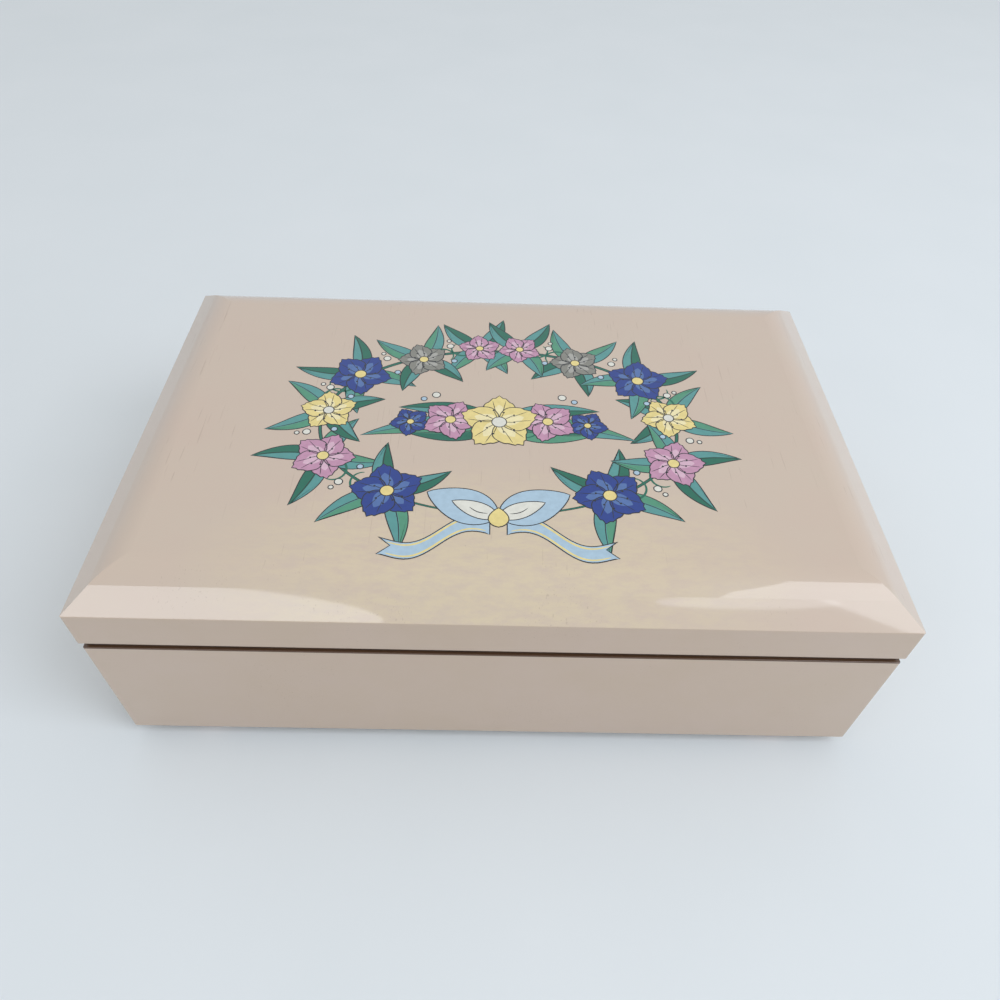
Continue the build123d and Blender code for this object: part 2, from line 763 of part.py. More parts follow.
# Governor frame: foot, right bearing plate, small left post and the bridge over the fan
plunger_gap = 2.0
plunger_offset = 1.0
ear_half_width = 1.6
ear_reach = 1.5
bridge_gap = 0.4
bridge_reach = 1.8
small_post_radius = 1.35
small_post_reach = 1.8
governor_post_radius = 2.4
worm_journal = 0.35
plunger_x = worm_x - fan_radius - plunger_gap
plunger_y = worm_y + plunger_offset
frame_left = plunger_x - ear_half_width
frame_right = right_post + post_thickness
bridge_back = worm_y + fan_radius + bridge_gap + bridge_thickness
foot_front = governor_y - small_post_radius
ear_bottom = 4.6
ear_thickness = 1.0
small_post = drum_end - small_post_reach
with BuildPart() as governor_frame:
    with BuildSketch(level()):
        with Locations(((frame_left + frame_right) / 2, (foot_front + bridge_back) / 2)):
            Rectangle(frame_right - frame_left, bridge_back - foot_front)
        with Locations(*frame_screw_places):
            Circle(screw_radius, mode=Mode.SUBTRACT)
    extrude(amount=frame_foot_thickness)
    with BuildSketch(across(right_post)):
        with Locations(((governor_y + governor_post_radius - post_radius) / 2, drum_height / 2)):
            Rectangle(governor_y + governor_post_radius + post_radius, drum_height)
        with Locations((0, drum_height)):
            Circle(post_radius)
        with Locations((governor_y, drum_height)):
            Circle(governor_post_radius)
        with Locations((governor_y / 2, drum_height)):
            Rectangle(governor_y, post_radius)
        with Locations((0, drum_height)):
            Circle(journal_radius + bearing, mode=Mode.SUBTRACT)
        with Locations((governor_y, drum_height)):
            Circle(governor_journal + pivot_gap, mode=Mode.SUBTRACT)
    extrude(amount=post_thickness)
    with BuildSketch(across(small_post)):
        with Locations((governor_y, drum_height / 2)):
            Rectangle(2 * small_post_radius, drum_height)
        with Locations((governor_y, drum_height)):
            Circle(small_post_radius)
            Circle(governor_journal + pivot_gap, mode=Mode.SUBTRACT)
    extrude(amount=bridge_thickness)
    with BuildSketch(level()):
        with Locations(((frame_left + frame_right) / 2, bridge_back - bridge_thickness / 2)):
            Rectangle(frame_right - frame_left, bridge_thickness)
    extrude(amount=bridge_bottom + bridge_thickness)
    with BuildSketch(level(z=bridge_bottom)):
        with Locations(((frame_left + frame_right) / 2, (worm_y - bridge_reach + bridge_back) / 2)):
            Rectangle(frame_right - frame_left, bridge_back - worm_y + bridge_reach)
    extrude(amount=bridge_thickness)
    with BuildSketch(level(z=ear_bottom)):
        with Locations((plunger_x, (plunger_y - ear_reach + bridge_back) / 2)):
            Rectangle(2 * ear_half_width, bridge_back - plunger_y + ear_reach)
    extrude(amount=ear_thickness)
    with BuildSketch(level()):
        with Locations((worm_x, worm_y)):
            Circle(worm_journal + pivot_gap)
    extrude(amount=bridge_bottom + bridge_thickness, mode=Mode.SUBTRACT)
    with BuildSketch(level(z=ear_bottom)):
        with Locations((plunger_x, plunger_y)):
            Circle(plunger_diameter / 2 + bearing)
    extrude(amount=bridge_bottom + bridge_thickness - ear_bottom, mode=Mode.SUBTRACT)
keep(governor_frame, "governor_frame")

comb_screw_top = drum_height + comb_base_thickness / 2
with BuildPart() as bed_screws:
    for place in comb_screw_places:
        add(slotted_screw(place, comb_screw_top, comb_base_thickness + comb_screw_bite - fit).part)
    for place in frame_screw_places:
        add(slotted_screw(place, frame_foot_thickness, frame_foot_thickness + bed_thickness - fit).part)
keep(bed_screws, "bed_screws")

# Screws that hold the movement to the platform from below
platform_bottom = platform_top - platform_thickness
with BuildPart() as movement_screws:
    with BuildSketch(level(z=platform_bottom - bed_top)):
        with leg_pattern(leg_reach):
            Circle(movement_screw_head_radius)
    extrude(amount=-screw_head_height)
    with BuildSketch(level(z=platform_bottom - bed_top)):
        with leg_pattern(leg_reach):
            Circle(movement_screw_diameter / 2)
    extrude(amount=bed_top + leg_bore - movement_screw_gap - platform_bottom)
keep(movement_screws, "movement_screws")

# Governor train: pinion on its shaft, worm wheel, worm and air fan
governor_shaft = 0.7
pinion_margin = 0.2
shaft_gap = 0.4
with BuildPart() as governor_pinion:
    pinion_plane = across(drum_gear_start - pinion_margin, governor_y, drum_height)
    gap_towards_cylinder = 180 + 180 / fan_pinion_teeth
    add(
        toothed_wheel(
            pinion_plane, fan_pinion_teeth, train_module, gear_width + 2 * pinion_margin,
            gap_towards_cylinder, governor_journal,
        ).part
    )
    with BuildSketch(across(small_post + fit, governor_y, drum_height)):
        Circle(governor_journal)
    extrude(amount=frame_right - small_post - 2 * fit)
    with BuildSketch(pinion_plane):
        Circle(governor_shaft)
    extrude(amount=right_post - drum_gear_start)
keep(governor_pinion, "governor_pinion")

worm_wheel = toothed_wheel(
    across(worm_wheel_start, governor_y, drum_height),
    worm_wheel_teeth, train_module, gear_width, 0, governor_shaft,
)
keep(worm_wheel, "worm_wheel")

worm_root = worm_pitch_radius - root_modules * train_module
worm_bottom = drum_height - worm_length / 2
thread_reach = (1 + root_modules) * train_module
thread_start = 270 + 180 / worm_starts - 180 * worm_turns
worm_axis = level(worm_x, worm_y, worm_bottom)
with BuildPart() as fan_worm:
    with BuildSketch(worm_axis):
        Circle(worm_root)
    extrude(amount=worm_length)
    for start in range(worm_starts):
        with BuildLine(worm_axis) as thread_line:
            Helix(pitch=worm_lead, height=worm_length, radius=worm_root)
        turn = thread_start + start * 360 / worm_starts
        path = thread_line.line.rotate(Axis(worm_axis.origin, (0, 0, 1)), turn)
        outward = (path @ 0) - worm_axis.origin
        with BuildSketch(Plane(origin=path @ 0, x_dir=outward, z_dir=path % 0)):
            Polygon(
                (-thread_sink, -pi * train_module * thread_root_share),
                (thread_reach, -pi * train_module * thread_tip_share),
                (thread_reach, pi * train_module * thread_tip_share),
                (-thread_sink, pi * train_module * thread_root_share),
                align=None,
            )
        sweep(path=path, is_frenet=True)
    with BuildSketch(level(worm_x, worm_y, fit)):
        Circle(worm_journal)
    extrude(amount=bridge_bottom + bridge_thickness - 2 * fit)
    with BuildSketch(level(worm_x, worm_y, frame_foot_thickness + shaft_gap)):
        Circle(governor_shaft)
    extrude(amount=bridge_bottom - frame_foot_thickness - 2 * shaft_gap)
keep(fan_worm, "fan_worm")

with BuildPart() as air_fan:
    with BuildSketch(level(worm_x, worm_y, fan_bottom)):
        Circle(governor_shaft + fan_hub_wall)
        Rectangle(2 * fan_radius, fan_blade_thickness)
        Circle(governor_shaft, mode=Mode.SUBTRACT)
    extrude(amount=fan_height)
keep(air_fan, "air_fan")

# Stop plunger, which the closed lid holds down beside the fan, and its return spring
surround_bottom = board_bottom - mirror_backing - mirror_thickness - surround_lip
plunger_tail = 0.8
plunger_tip_round = 0.35
collar_thickness = 0.6
plunger_bottom = ear_bottom - plunger_travel - plunger_tail
collar_top = fan_bottom + seat
flag_reach = plunger_gap - seat
with BuildPart() as stop_plunger:
    with BuildSketch(level(plunger_x, plunger_y, plunger_bottom)):
        Circle(plunger_diameter / 2)
    extrude(amount=surround_bottom - seat - bed_top - plunger_bottom)
    fillet(stop_plunger.edges().sort_by(Axis.Z)[-1], plunger_tip_round)
    with BuildSketch(level(plunger_x, plunger_y, collar_top - collar_thickness)):
        Circle(plunger_diameter)
    extrude(amount=collar_thickness)
    with BuildSketch(level(plunger_x, worm_y, flag_bottom)):
        with Locations((flag_reach / 2, (plunger_y - worm_y) / 2)):
            Rectangle(flag_reach, plunger_diameter)
    extrude(amount=flag_height)
keep(stop_plunger, "stop_plunger")

spring_wire = 0.2
spring_coils = 5
coil_gap = 0.15
spring_foot = ear_bottom + ear_thickness
coil_radius = plunger_diameter / 2 + spring_wire + coil_gap
with BuildPart() as plunger_spring:
    with BuildLine(level(plunger_x, plunger_y, spring_foot + spring_wire)) as coil_line:
        coil_height = collar_top - collar_thickness - spring_foot - 2 * spring_wire
        coil = Helix(pitch=coil_height / spring_coils, height=coil_height, radius=coil_radius)
    with BuildSketch(Plane(origin=coil @ 0, z_dir=coil % 0)):
        RegularPolygon(spring_wire, 8)
    sweep(path=coil_line.line, is_frenet=True)
keep(plunger_spring, "plunger_spring")

# Clear cover over the movement
cover_height = bed_thickness + bridge_bottom + bridge_thickness + cover_gap + cover_wall
with BuildPart() as movement_cover:
    with BuildSketch(Plane.XY.offset(platform_top)):
        with Locations((bay_x, bay_y)):
            RectangleRounded(cover_length, cover_depth, cover_corner)
    extrude(amount=cover_height)
    fillet(movement_cover.faces().sort_by(Axis.Z)[-1].edges(), cover_edge_round)
    with BuildSketch(Plane.XY.offset(platform_top)):
        with Locations((bay_x, bay_y)):
            RectangleRounded(
                cover_length - 2 * cover_wall, cover_depth - 2 * cover_wall, cover_corner - cover_wall
            )
    extrude(amount=cover_height - cover_wall, mode=Mode.SUBTRACT)
    with BuildSketch(level(plunger_x, plunger_y, cover_height - bed_thickness)):
        Circle(plunger_diameter / 2 + seat)
    extrude(amount=-2 * cover_wall, mode=Mode.SUBTRACT)
keep(movement_cover, "movement_cover")

# Hinge screws, which also shape their own holes
screw_sink = 0.5


def hinge_screws(face_height, into):
    """Countersunk screws for both hinges, flush with a leaf and running up or down from it."""
    with BuildPart() as screws:
        with BuildSketch(Plane.XY.offset(face_height)):
            with Locations(*hinge_screw_places()):
                Circle(hinge_screw_diameter / 2 + screw_sink)
        extrude(amount=into * screw_sink, taper=45)
        with BuildSketch(Plane.XY.offset(face_height)):
            with Locations(*hinge_screw_places()):
                Circle(hinge_screw_diameter / 2)
        extrude(amount=into * (hinge_screw_length - fit))
    return screws


base_screws = hinge_screws(base_top + hinge_leaf_thickness, -1)
lid_screws = hinge_screws(lid_bottom - hinge_leaf_thickness, 1)
keep(base_screws, "hinge_base_screws")
keep(lid_screws, "hinge_lid_screws")

# Hinge leaves with five knuckles between them, and their pins
knuckle_count = 5
knuckle_length = hinge_length / knuckle_count
knuckle_radius = hinge_knuckle_diameter / 2
pin_radius = hinge_pin_diameter / 2


def along_pin(x):
    """Upright plane facing +X on the hinge axis."""
    return Plane(origin=(x, hinge_y, hinge_z), x_dir=(0, 1, 0), z_dir=(1, 0, 0))


def hinge_leaf(x_place, plate_bottom, first_knuckle, bore, screws):
    """A hinge leaf: its plate, every second knuckle and room for the other leaf's knuckles."""
    start = x_place - hinge_length / 2
    with BuildPart() as leaf:
        with BuildSketch(Plane.XY.offset(plate_bottom)):
            with Locations((x_place, hinge_y - hinge_leaf_width / 2)):
                Rectangle(hinge_length, hinge_leaf_width)
        extrude(amount=hinge_leaf_thickness)
        for knuckle in range(first_knuckle, knuckle_count, 2):
            with BuildSketch(along_pin(start + knuckle * knuckle_length)):
                Circle(knuckle_radius)
            extrude(amount=knuckle_length)
        for knuckle in range(knuckle_count):
            if knuckle % 2 != first_knuckle % 2:
                with BuildSketch(along_pin(start + knuckle * knuckle_length - fit / 2)):
                    Rectangle(2 * (knuckle_radius + 2 * fit), 4 * knuckle_radius)
                extrude(amount=knuckle_length + fit, mode=Mode.SUBTRACT)
        with BuildSketch(along_pin(start)):
            Circle(bore)
        extrude(amount=hinge_length, mode=Mode.SUBTRACT)
        add(screws.part, mode=Mode.SUBTRACT)
    return leaf


for name, x in zip(("left", "right"), hinge_places):
    lower = hinge_leaf(x, base_top, 0, pin_radius, base_screws)
    keep(lower, f"{name}_hinge_base_leaf")
    upper_bottom = lid_bottom - hinge_leaf_thickness
    upper = hinge_leaf(x, upper_bottom, 1, pin_radius + pivot_gap, lid_screws)
    keep(upper, f"{name}_hinge_lid_leaf")

with BuildPart() as hinge_pins:
    for x in hinge_places:
        with BuildSketch(along_pin(x - hinge_length / 2)):
            Circle(pin_radius)
    extrude(amount=hinge_length)
keep(hinge_pins, "hinge_pins")

# Lid rails
with BuildPart() as lid_ring:
    add(wall_ring(lid_length, lid_depth, lid_bottom, lid_rail_height, (0,)).part)
    with BuildSketch(Plane.XY.offset(lid_bottom)):
        with Locations(*hinge_screw_places()):
            Circle(hinge_screw_diameter / 2)
    extrude(amount=hinge_screw_length, mode=Mode.SUBTRACT)

for side in ("front", "back", "left", "right"):
    rail = mitred_side(lid_ring, lid_length, lid_depth, lid_bottom, lid_rail_height, side)
    keep(rail, f"lid_{side}_rail")

# Lid top: a board whose four shoulders slope up and round over into the flat
slope = radians(shoulder_slope)
shoulder_width = shoulder_straight + shoulder_round
shoulder_rise = shoulder_straight * tan(slope) + shoulder_round * tan(slope / 2)
lid_top_z = lid_edge + shoulder_rise


def pillow_profile(plane, half_span):
    """Section of the lid top across one of its spans, on an upright plane."""
    with BuildSketch(plane) as profile:
        with BuildLine():
            side_line = Line((half_span, board_bottom), (half_span, lid_edge))
            incline = PolarLine(side_line @ 1, shoulder_straight / cos(slope), angle=180 - shoulder_slope)
            crest = TangentArc(
                incline @ 1, (half_span - shoulder_width, lid_top_z), tangent=incline % 1
            )
            Polyline(crest @ 1, (0, lid_top_z))
            Polyline((0, board_bottom), side_line @ 0)
            mirror(about=Plane.YZ)
        make_face()
        for end in (0, -1):
            fillet(profile.vertices().group_by(Axis.X)[end].sort_by(Axis.Y)[-1], edge_round)
    return profile


long_profile = pillow_profile(Plane.XZ.offset(-lid_depth / 2), lid_length / 2)
cross_profile = pillow_profile(Plane.YZ.offset(-lid_length / 2), lid_depth / 2)
with BuildPart() as lid_top:
    extrude(long_profile.sketch, amount=lid_depth)
    extrude(cross_profile.sketch, amount=lid_length, mode=Mode.INTERSECT)
    with BuildSketch(Plane.XY.offset(board_bottom)):
        RectangleRounded(lid_length, lid_depth, corner_round)
    extrude(amount=lid_top_z - board_bottom, mode=Mode.INTERSECT)
keep(lid_top, "lid_top")

# Mirror with its backing card and padded surround, in the lid's recess
recess_length = lid_length - 2 * (wall_thickness + fit)
recess_depth = lid_depth - 2 * (wall_thickness + fit)
mirror_top = board_bottom - mirror_backing
mirror_bottom = mirror_top - mirror_thickness
with BuildPart() as mirror_card:
    with BuildSketch(Plane.XY.offset(mirror_top)):
        Rectangle(recess_length, recess_depth)
    extrude(amount=mirror_backing)
keep(mirror_card, "mirror_backing")

with BuildPart() as mirror_glass:
    with BuildSketch(Plane.XY.offset(mirror_bottom)):
        Rectangle(mirror_length, mirror_depth)
    extrude(amount=mirror_thickness)
keep(mirror_glass, "mirror")

with BuildPart() as mirror_surround:
    with BuildSketch(Plane.XY.offset(surround_bottom)):
        Rectangle(recess_length, recess_depth)
        Rectangle(
            mirror_length - 2 * surround_overlap,
            mirror_depth - 2 * surround_overlap,
            mode=Mode.SUBTRACT,
        )
    extrude(amount=surround_lip)
    with BuildSketch(Plane.XY.offset(mirror_bottom)):
        Rectangle(recess_length, recess_depth)
        Rectangle(mirror_length + 2 * fit, mirror_depth + 2 * fit, mode=Mode.SUBTRACT)
    extrude(amount=mirror_thickness)
keep(mirror_surround, "mirror_surround")
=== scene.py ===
import json
from math import atan2, cos, exp, hypot, pi, radians, sin, sqrt

import bpy
from mathutils import Matrix, Vector, noise

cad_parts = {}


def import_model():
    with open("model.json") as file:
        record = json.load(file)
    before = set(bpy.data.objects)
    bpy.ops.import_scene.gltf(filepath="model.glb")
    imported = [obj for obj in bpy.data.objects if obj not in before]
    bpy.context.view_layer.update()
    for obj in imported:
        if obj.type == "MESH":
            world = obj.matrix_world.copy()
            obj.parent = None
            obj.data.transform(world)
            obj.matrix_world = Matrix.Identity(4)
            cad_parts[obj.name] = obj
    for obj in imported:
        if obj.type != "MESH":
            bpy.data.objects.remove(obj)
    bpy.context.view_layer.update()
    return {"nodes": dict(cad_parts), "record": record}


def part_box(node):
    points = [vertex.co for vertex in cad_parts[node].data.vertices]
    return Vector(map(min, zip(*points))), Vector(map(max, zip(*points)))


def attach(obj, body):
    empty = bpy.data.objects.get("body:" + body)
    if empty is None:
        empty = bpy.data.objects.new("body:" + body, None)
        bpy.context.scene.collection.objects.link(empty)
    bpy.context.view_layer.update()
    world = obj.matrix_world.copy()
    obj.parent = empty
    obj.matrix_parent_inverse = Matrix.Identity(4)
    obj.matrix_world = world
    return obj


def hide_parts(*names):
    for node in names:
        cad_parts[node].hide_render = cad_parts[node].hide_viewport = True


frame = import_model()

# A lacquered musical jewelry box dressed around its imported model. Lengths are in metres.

mm = 0.001

# Heights read from the frame
lid_top_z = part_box("lid_top")[1].z
wall_top_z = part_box("base_front_wall")[1].z
panel_top_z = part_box("bottom_panel")[1].z


def tone(red, green, blue):
    """A colour written in display values from 0 to 255, as the linear colour that shaders take."""
    linear = []
    for value in (red / 255, green / 255, blue / 255):
        linear.append(value / 12.92 if value <= 10 / 255 else ((value + 0.055) / 1.055) ** 2.4)
    return (*linear, 1.0)


# Colours of the lacquer, the trim and the lining
peach = tone(203, 187, 171)
# The side peach is the top's peach darkened: painted shade for upright faces, which get less light
# than the top
peach_side_shaded = tone(198, 176, 155)
peach_yellow = tone(212, 197, 170)
peach_pink = tone(204, 182, 168)
scratch_brown = tone(150, 128, 112)
groove_brown = tone(92, 66, 46)
groove_dark = tone(44, 29, 20)
wine = tone(112, 30, 46)
wine_deep = tone(66, 12, 26)
wine_sheen = tone(214, 150, 160)

# Colours of the print
inks = {
    "line": tone(24, 26, 34),
    "cobalt": tone(20, 56, 140),
    "blue": tone(78, 112, 172),
    "mauve": tone(196, 146, 176),
    "mauve_pale": tone(218, 182, 202),
    "yellow": tone(234, 216, 142),
    "yellow_pale": tone(243, 232, 182),
    "grey": tone(134, 134, 126),
    "grey_pale": tone(170, 170, 164),
    "teal": tone(84, 152, 150),
    "sage": tone(78, 150, 120),
    "green": tone(8, 106, 84),
    "sky": tone(172, 200, 220),
    "ivory": tone(226, 227, 218),
}


# Materials


class Shader:
    """A material under construction, with short calls for the nodes it needs."""

    def __init__(self, name):
        self.material = bpy.data.materials.new(name)
        self.material.use_nodes = True
        self.tree = self.material.node_tree
        self.surface = self.tree.nodes["Principled BSDF"]
        coordinates = self.tree.nodes.new("ShaderNodeTexCoord")
        self.places = coordinates.outputs["Object"]
        self.normals = coordinates.outputs["Normal"]

    def node(self, kind, **values):
        """A new node with its properties set."""
        made = self.tree.nodes.new(kind)
        for key, value in values.items():
            setattr(made, key, value)
        return made

    def link(self, source, target):
        self.tree.links.new(source, target)

    def set(self, **values):
        """Sets constant inputs of the surface, named with underscores for spaces."""
        for key, value in values.items():
            self.surface.inputs[key.replace("_", " ")].default_value = value

    def mapped(self, stretch=(1, 1, 1), turn=(0, 0, 0)):
        """The place on the object, stretched and turned."""
        mapping = self.node("ShaderNodeMapping")
        mapping.inputs["Scale"].default_value = stretch
        mapping.inputs["Rotation"].default_value = turn
        self.link(self.places, mapping.inputs["Vector"])
        return mapping.outputs["Vector"]

    def clouds(self, size, detail=3.0, stretch=(1, 1, 1), turn=(0, 0, 0), roughness=0.5):
        """Noise whose features are about a size across, as a value from 0 to 1."""
        texture = self.node("ShaderNodeTexNoise")
        texture.inputs["Scale"].default_value = 1 / size
        texture.inputs["Detail"].default_value = detail
        texture.inputs["Roughness"].default_value = roughness
        self.link(self.mapped(stretch, turn), texture.inputs["Vector"])
        return texture.outputs["Fac"]

    def ramp(self, value, low, high, at_low=0.0, at_high=1.0):
        """A value remapped from one span to another, held at both ends."""
        made = self.node("ShaderNodeMapRange", clamp=True)
        spans = {"From Min": low, "From Max": high, "To Min": at_low, "To Max": at_high}
        for name, number in spans.items():
            made.inputs[name].default_value = number
        self.link(value, made.inputs["Value"])
        return made.outputs["Result"]

    def math(self, operation, first, second=0.0):
        """The result of an operation on values or sockets."""
        made = self.node("ShaderNodeMath", operation=operation)
        for socket, value in zip(made.inputs, (first, second)):
            if isinstance(value, (int, float)):
                socket.default_value = value
            else:
                self.link(value, socket)
        return made.outputs["Value"]

    def blend(self, share, first, second):
        """A colour between two colours, each a value or a socket."""
        made = self.node("ShaderNodeMix", data_type="RGBA")
        self.link(share, made.inputs["Factor"])
        for name, colour in (("A", first), ("B", second)):
            socket = [s for s in made.inputs if s.name == name and s.type == "RGBA"][0]
            if isinstance(colour, tuple):
                socket.default_value = colour
            else:
                self.link(colour, socket)
        return [s for s in made.outputs if s.type == "RGBA"][0]

    def part(self, vector, name):
        """The X, Y or Z of a place, a normal or a colour."""
        split = self.node("ShaderNodeSeparateXYZ")
        self.link(vector, split.inputs["Vector"])
        return split.outputs[name]

    def colour(self, socket):
        self.link(socket, self.surface.inputs["Base Color"])

    def paint_over(self, share, colour):
        """Blends the colour that the material has so far towards another."""
        before = self.surface.inputs["Base Color"].links[0].from_socket
        self.colour(self.blend(share, before, colour))

    def roughness(self, socket):
        self.link(socket, self.surface.inputs["Roughness"])

    def bump(self, height, depth, strength=1.0):
        """A bump whose full height is a depth in metres."""
        made = self.node("ShaderNodeBump")
        made.inputs["Strength"].default_value = strength
        made.inputs["Distance"].default_value = depth
        self.link(height, made.inputs["Height"])
        self.link(made.outputs["Normal"], self.surface.inputs["Normal"])


def hairlines(shader, spacing, turn, keep):
    """Sparse fine scratches along one heading: 1 on a scratch and 0 elsewhere."""
    streaks = shader.clouds(spacing, detail=2.0, stretch=(1, 0.03, 1), turn=(0, 0, turn))
    patches = shader.clouds(18 * mm, detail=1.0)
    sharp = shader.ramp(streaks, keep, keep + 0.02)
    return shader.math("MULTIPLY", sharp, shader.ramp(patches, 0.52, 0.62))


def specks(shader, spacing, size, share):
    """Scattered tiny dots: 1 on a dot and 0 elsewhere. About a share of the cells holds one."""
    cells = shader.node("ShaderNodeTexVoronoi")
    cells.inputs["Scale"].default_value = 1 / spacing
    shader.link(shader.places, cells.inputs["Vector"])
    dots = shader.ramp(cells.outputs["Distance"], size / spacing, size / spacing * 0.5)
    chosen = shader.ramp(shader.part(cells.outputs["Color"], "X"), share, share - 0.02)
    return shader.math("MULTIPLY", dots, chosen)


def clear_coat(shader):
    """The glossy coat over the lacquer and over the print."""
    shader.set(Coat_Weight=1.0, Coat_Roughness=0.035, Coat_IOR=1.5, Specular_IOR_Level=0.3)


def front_bloom(shader, paint):
    """Paint with the yellowish bloom that spreads from the middle of the lid's front edge."""
    bloom_y, reach_x, reach_y = -52 * mm, 75 * mm, 34 * mm
    across = shader.math("MULTIPLY", shader.part(shader.places, "X"), 1 / reach_x)
    from_bloom = shader.math("ADD", shader.part(shader.places, "Y"), -bloom_y)
    along = shader.math("MULTIPLY", from_bloom, 1 / reach_y)
    distance = shader.math("ADD", *[shader.math("POWER", way, 2.0) for way in (across, along)])
    bloom = shader.ramp(distance, 1.0, 0.1)
    mist = shader.clouds(2.2 * mm, detail=6.0, stretch=(0.4, 1, 1), roughness=0.7)
    share = shader.math("MULTIPLY", bloom, shader.ramp(mist, 0.3, 0.6))
    return shader.blend(share, paint, peach_yellow)


def lacquer(name, colour, on_lid):
    """Glossy peach lacquer with faint mottling, hairline scratches and specks."""
    shader = Shader(name)
    mottle = shader.ramp(shader.clouds(26 * mm, detail=4.0, roughness=0.6), 0.35, 0.7, 0.0, 0.45)
    paint = shader.blend(mottle, colour, peach_pink)
    if on_lid:
        paint = front_bloom(shader, paint)
        # The upright edge takes the darker side peach, painted shade for faces that get less light
        # than the top
        facing_up = shader.ramp(shader.part(shader.normals, "Z"), 0.3, 0.7)
        paint = shader.blend(facing_up, shader.blend(mottle, peach_side_shaded, peach_pink), paint)
    crossed = [hairlines(shader, 0.5 * mm, 0.35, 0.68), hairlines(shader, 0.4 * mm, 1.9, 0.7)]
    scratches = shader.math("ADD", *crossed)
    dots = specks(shader, 9 * mm, 0.16 * mm, 0.22)
    paint = shader.blend(shader.math("MULTIPLY", dots, 0.55), paint, groove_brown)
    paint = shader.blend(shader.math("MULTIPLY", scratches, 0.25), paint, scratch_brown)
    shader.colour(paint)
    wear = shader.ramp(shader.clouds(40 * mm, detail=3.0), 0.3, 0.7, 0.28, 0.4)
    shader.roughness(shader.math("ADD", wear, shader.math("MULTIPLY", scratches, 0.2)))
    clear_coat(shader)
    shader.bump(shader.clouds(1.6 * mm, detail=2.0), 0.004 * mm)
    return shader


def stained_lip():
    """Dark brown stain over fine straight grain."""
    shader = Shader("dark_lip_stain")
    grain = shader.clouds(1.2 * mm, detail=5.0, stretch=(0.08, 0.08, 1))
    shader.colour(shader.blend(grain, groove_dark, groove_brown))
    shader.roughness(shader.ramp(grain, 0.3, 0.7, 0.45, 0.6))
    shader.bump(grain, 0.02 * mm)
    return shader


def velvet(name, light, dark):
    """Short-piled velvet: a soft sheen, a brushed nap and fine pile."""
    shader = Shader(name)
    nap = shader.clouds(6 * mm, detail=4.0, roughness=0.6)
    pile = shader.clouds(0.35 * mm, detail=2.0)
    shade = shader.blend(shader.ramp(nap, 0.3, 0.72, 0.3, 0.95), dark, light)
    shader.colour(shader.blend(shader.ramp(pile, 0.3, 0.75, 0.0, 0.5), shade, dark))
    shader.set(Roughness=0.95, Specular_IOR_Level=0.15)
    shader.set(Sheen_Weight=0.7, Sheen_Roughness=0.4, Sheen_Tint=wine_sheen)
    shader.bump(pile, 0.12 * mm, 0.6)
    return shader


def metal(name, colour, dull, roughness, brush=(1, 1, 0.06)):
    """Metal with brushed streaks, faint tarnish and a bump along the streaks."""
    shader = Shader(name)
    streaks = shader.clouds(0.5 * mm, detail=3.0, stretch=brush)
    tarnish = shader.clouds(6 * mm, detail=3.0)
    shader.colour(shader.blend(shader.ramp(tarnish, 0.35, 0.75, 0.0, 0.6), colour, dull))
    shader.roughness(shader.ramp(streaks, 0.2, 0.8, roughness * 0.7, roughness * 1.4))
    shader.set(Metallic=1.0)
    shader.bump(streaks, 0.006 * mm)
    return shader


def timber(name, light, dark, gloss):
    """Plain wood with grain along the length of the box."""
    shader = Shader(name)
    rings = shader.clouds(3 * mm, detail=5.0, stretch=(0.06, 1, 1), roughness=0.6)
    pores = shader.clouds(0.5 * mm, detail=2.0, stretch=(0.05, 1, 1))
    grain = shader.blend(shader.ramp(rings, 0.35, 0.65), light, dark)
    shader.colour(shader.blend(shader.ramp(pores, 0.55, 0.75, 0.0, 0.5), grain, dark))
    shader.roughness(shader.ramp(rings, 0.3, 0.7, gloss, gloss + 0.15))
    shader.bump(pores, 0.03 * mm)
    return shader


def clear_plastic():
    """Thin clear moulded plastic with a few handling marks."""
    shader = Shader("clear_cover_plastic")
    marks = hairlines(shader, 0.4 * mm, 0.8, 0.66)
    shader.roughness(shader.ramp(marks, 0.0, 1.0, 0.02, 0.2))
    shader.set(Transmission_Weight=1.0, IOR=1.49, Base_Color=tone(246, 249, 249))
    shader.bump(shader.clouds(12 * mm, detail=1.0), 0.01 * mm)
    return shader


def silvered_glass():
    """Mirror glass with a trace of haze."""
    shader = Shader("mirror_silver")
    haze = shader.clouds(14 * mm, detail=3.0)
    shader.roughness(shader.ramp(haze, 0.3, 0.8, 0.008, 0.035))
    shader.set(Metallic=1.0)
    shader.colour(shader.blend(haze, tone(236, 240, 240), tone(226, 232, 231)))
    return shader


def darker(colour, share):
    """A share of a colour's brightness, with its alpha kept."""
    return tuple(share * v for v in colour[:3]) + (1.0,)


def board(name, colour):
    """Matte card or board with a faint fibre pattern."""
    shader = Shader(name)
    fibres = shader.clouds(0.8 * mm, detail=4.0, stretch=(0.4, 1, 1))
    shader.colour(shader.blend(fibres, colour, darker(colour, 0.8)))
    shader.set(Roughness=0.85)
    shader.bump(fibres, 0.02 * mm)
    return shader


stain_and_shade_fade = 0.1 * mm


def stain_and_shade_level_faces(shader, height, reach, colour):
    """Paints a colour on the faces that look up or down near a height, such as the bottom of a
    groove: used for the brown stain on the wall tops and for painted shade on the bottom panel
    between the floor pads.
    """
    place_z = shader.part(shader.places, "Z")
    low, high = height - reach, height + reach
    above = shader.ramp(place_z, low - stain_and_shade_fade, low)
    below = shader.ramp(place_z, high, high - stain_and_shade_fade)
    near = shader.math("MULTIPLY", above, below)
    facing = shader.math("ABSOLUTE", shader.part(shader.normals, "Z"))
    level = shader.ramp(facing, 0.1, 0.2)
    shader.paint_over(shader.math("MULTIPLY", near, level), colour)


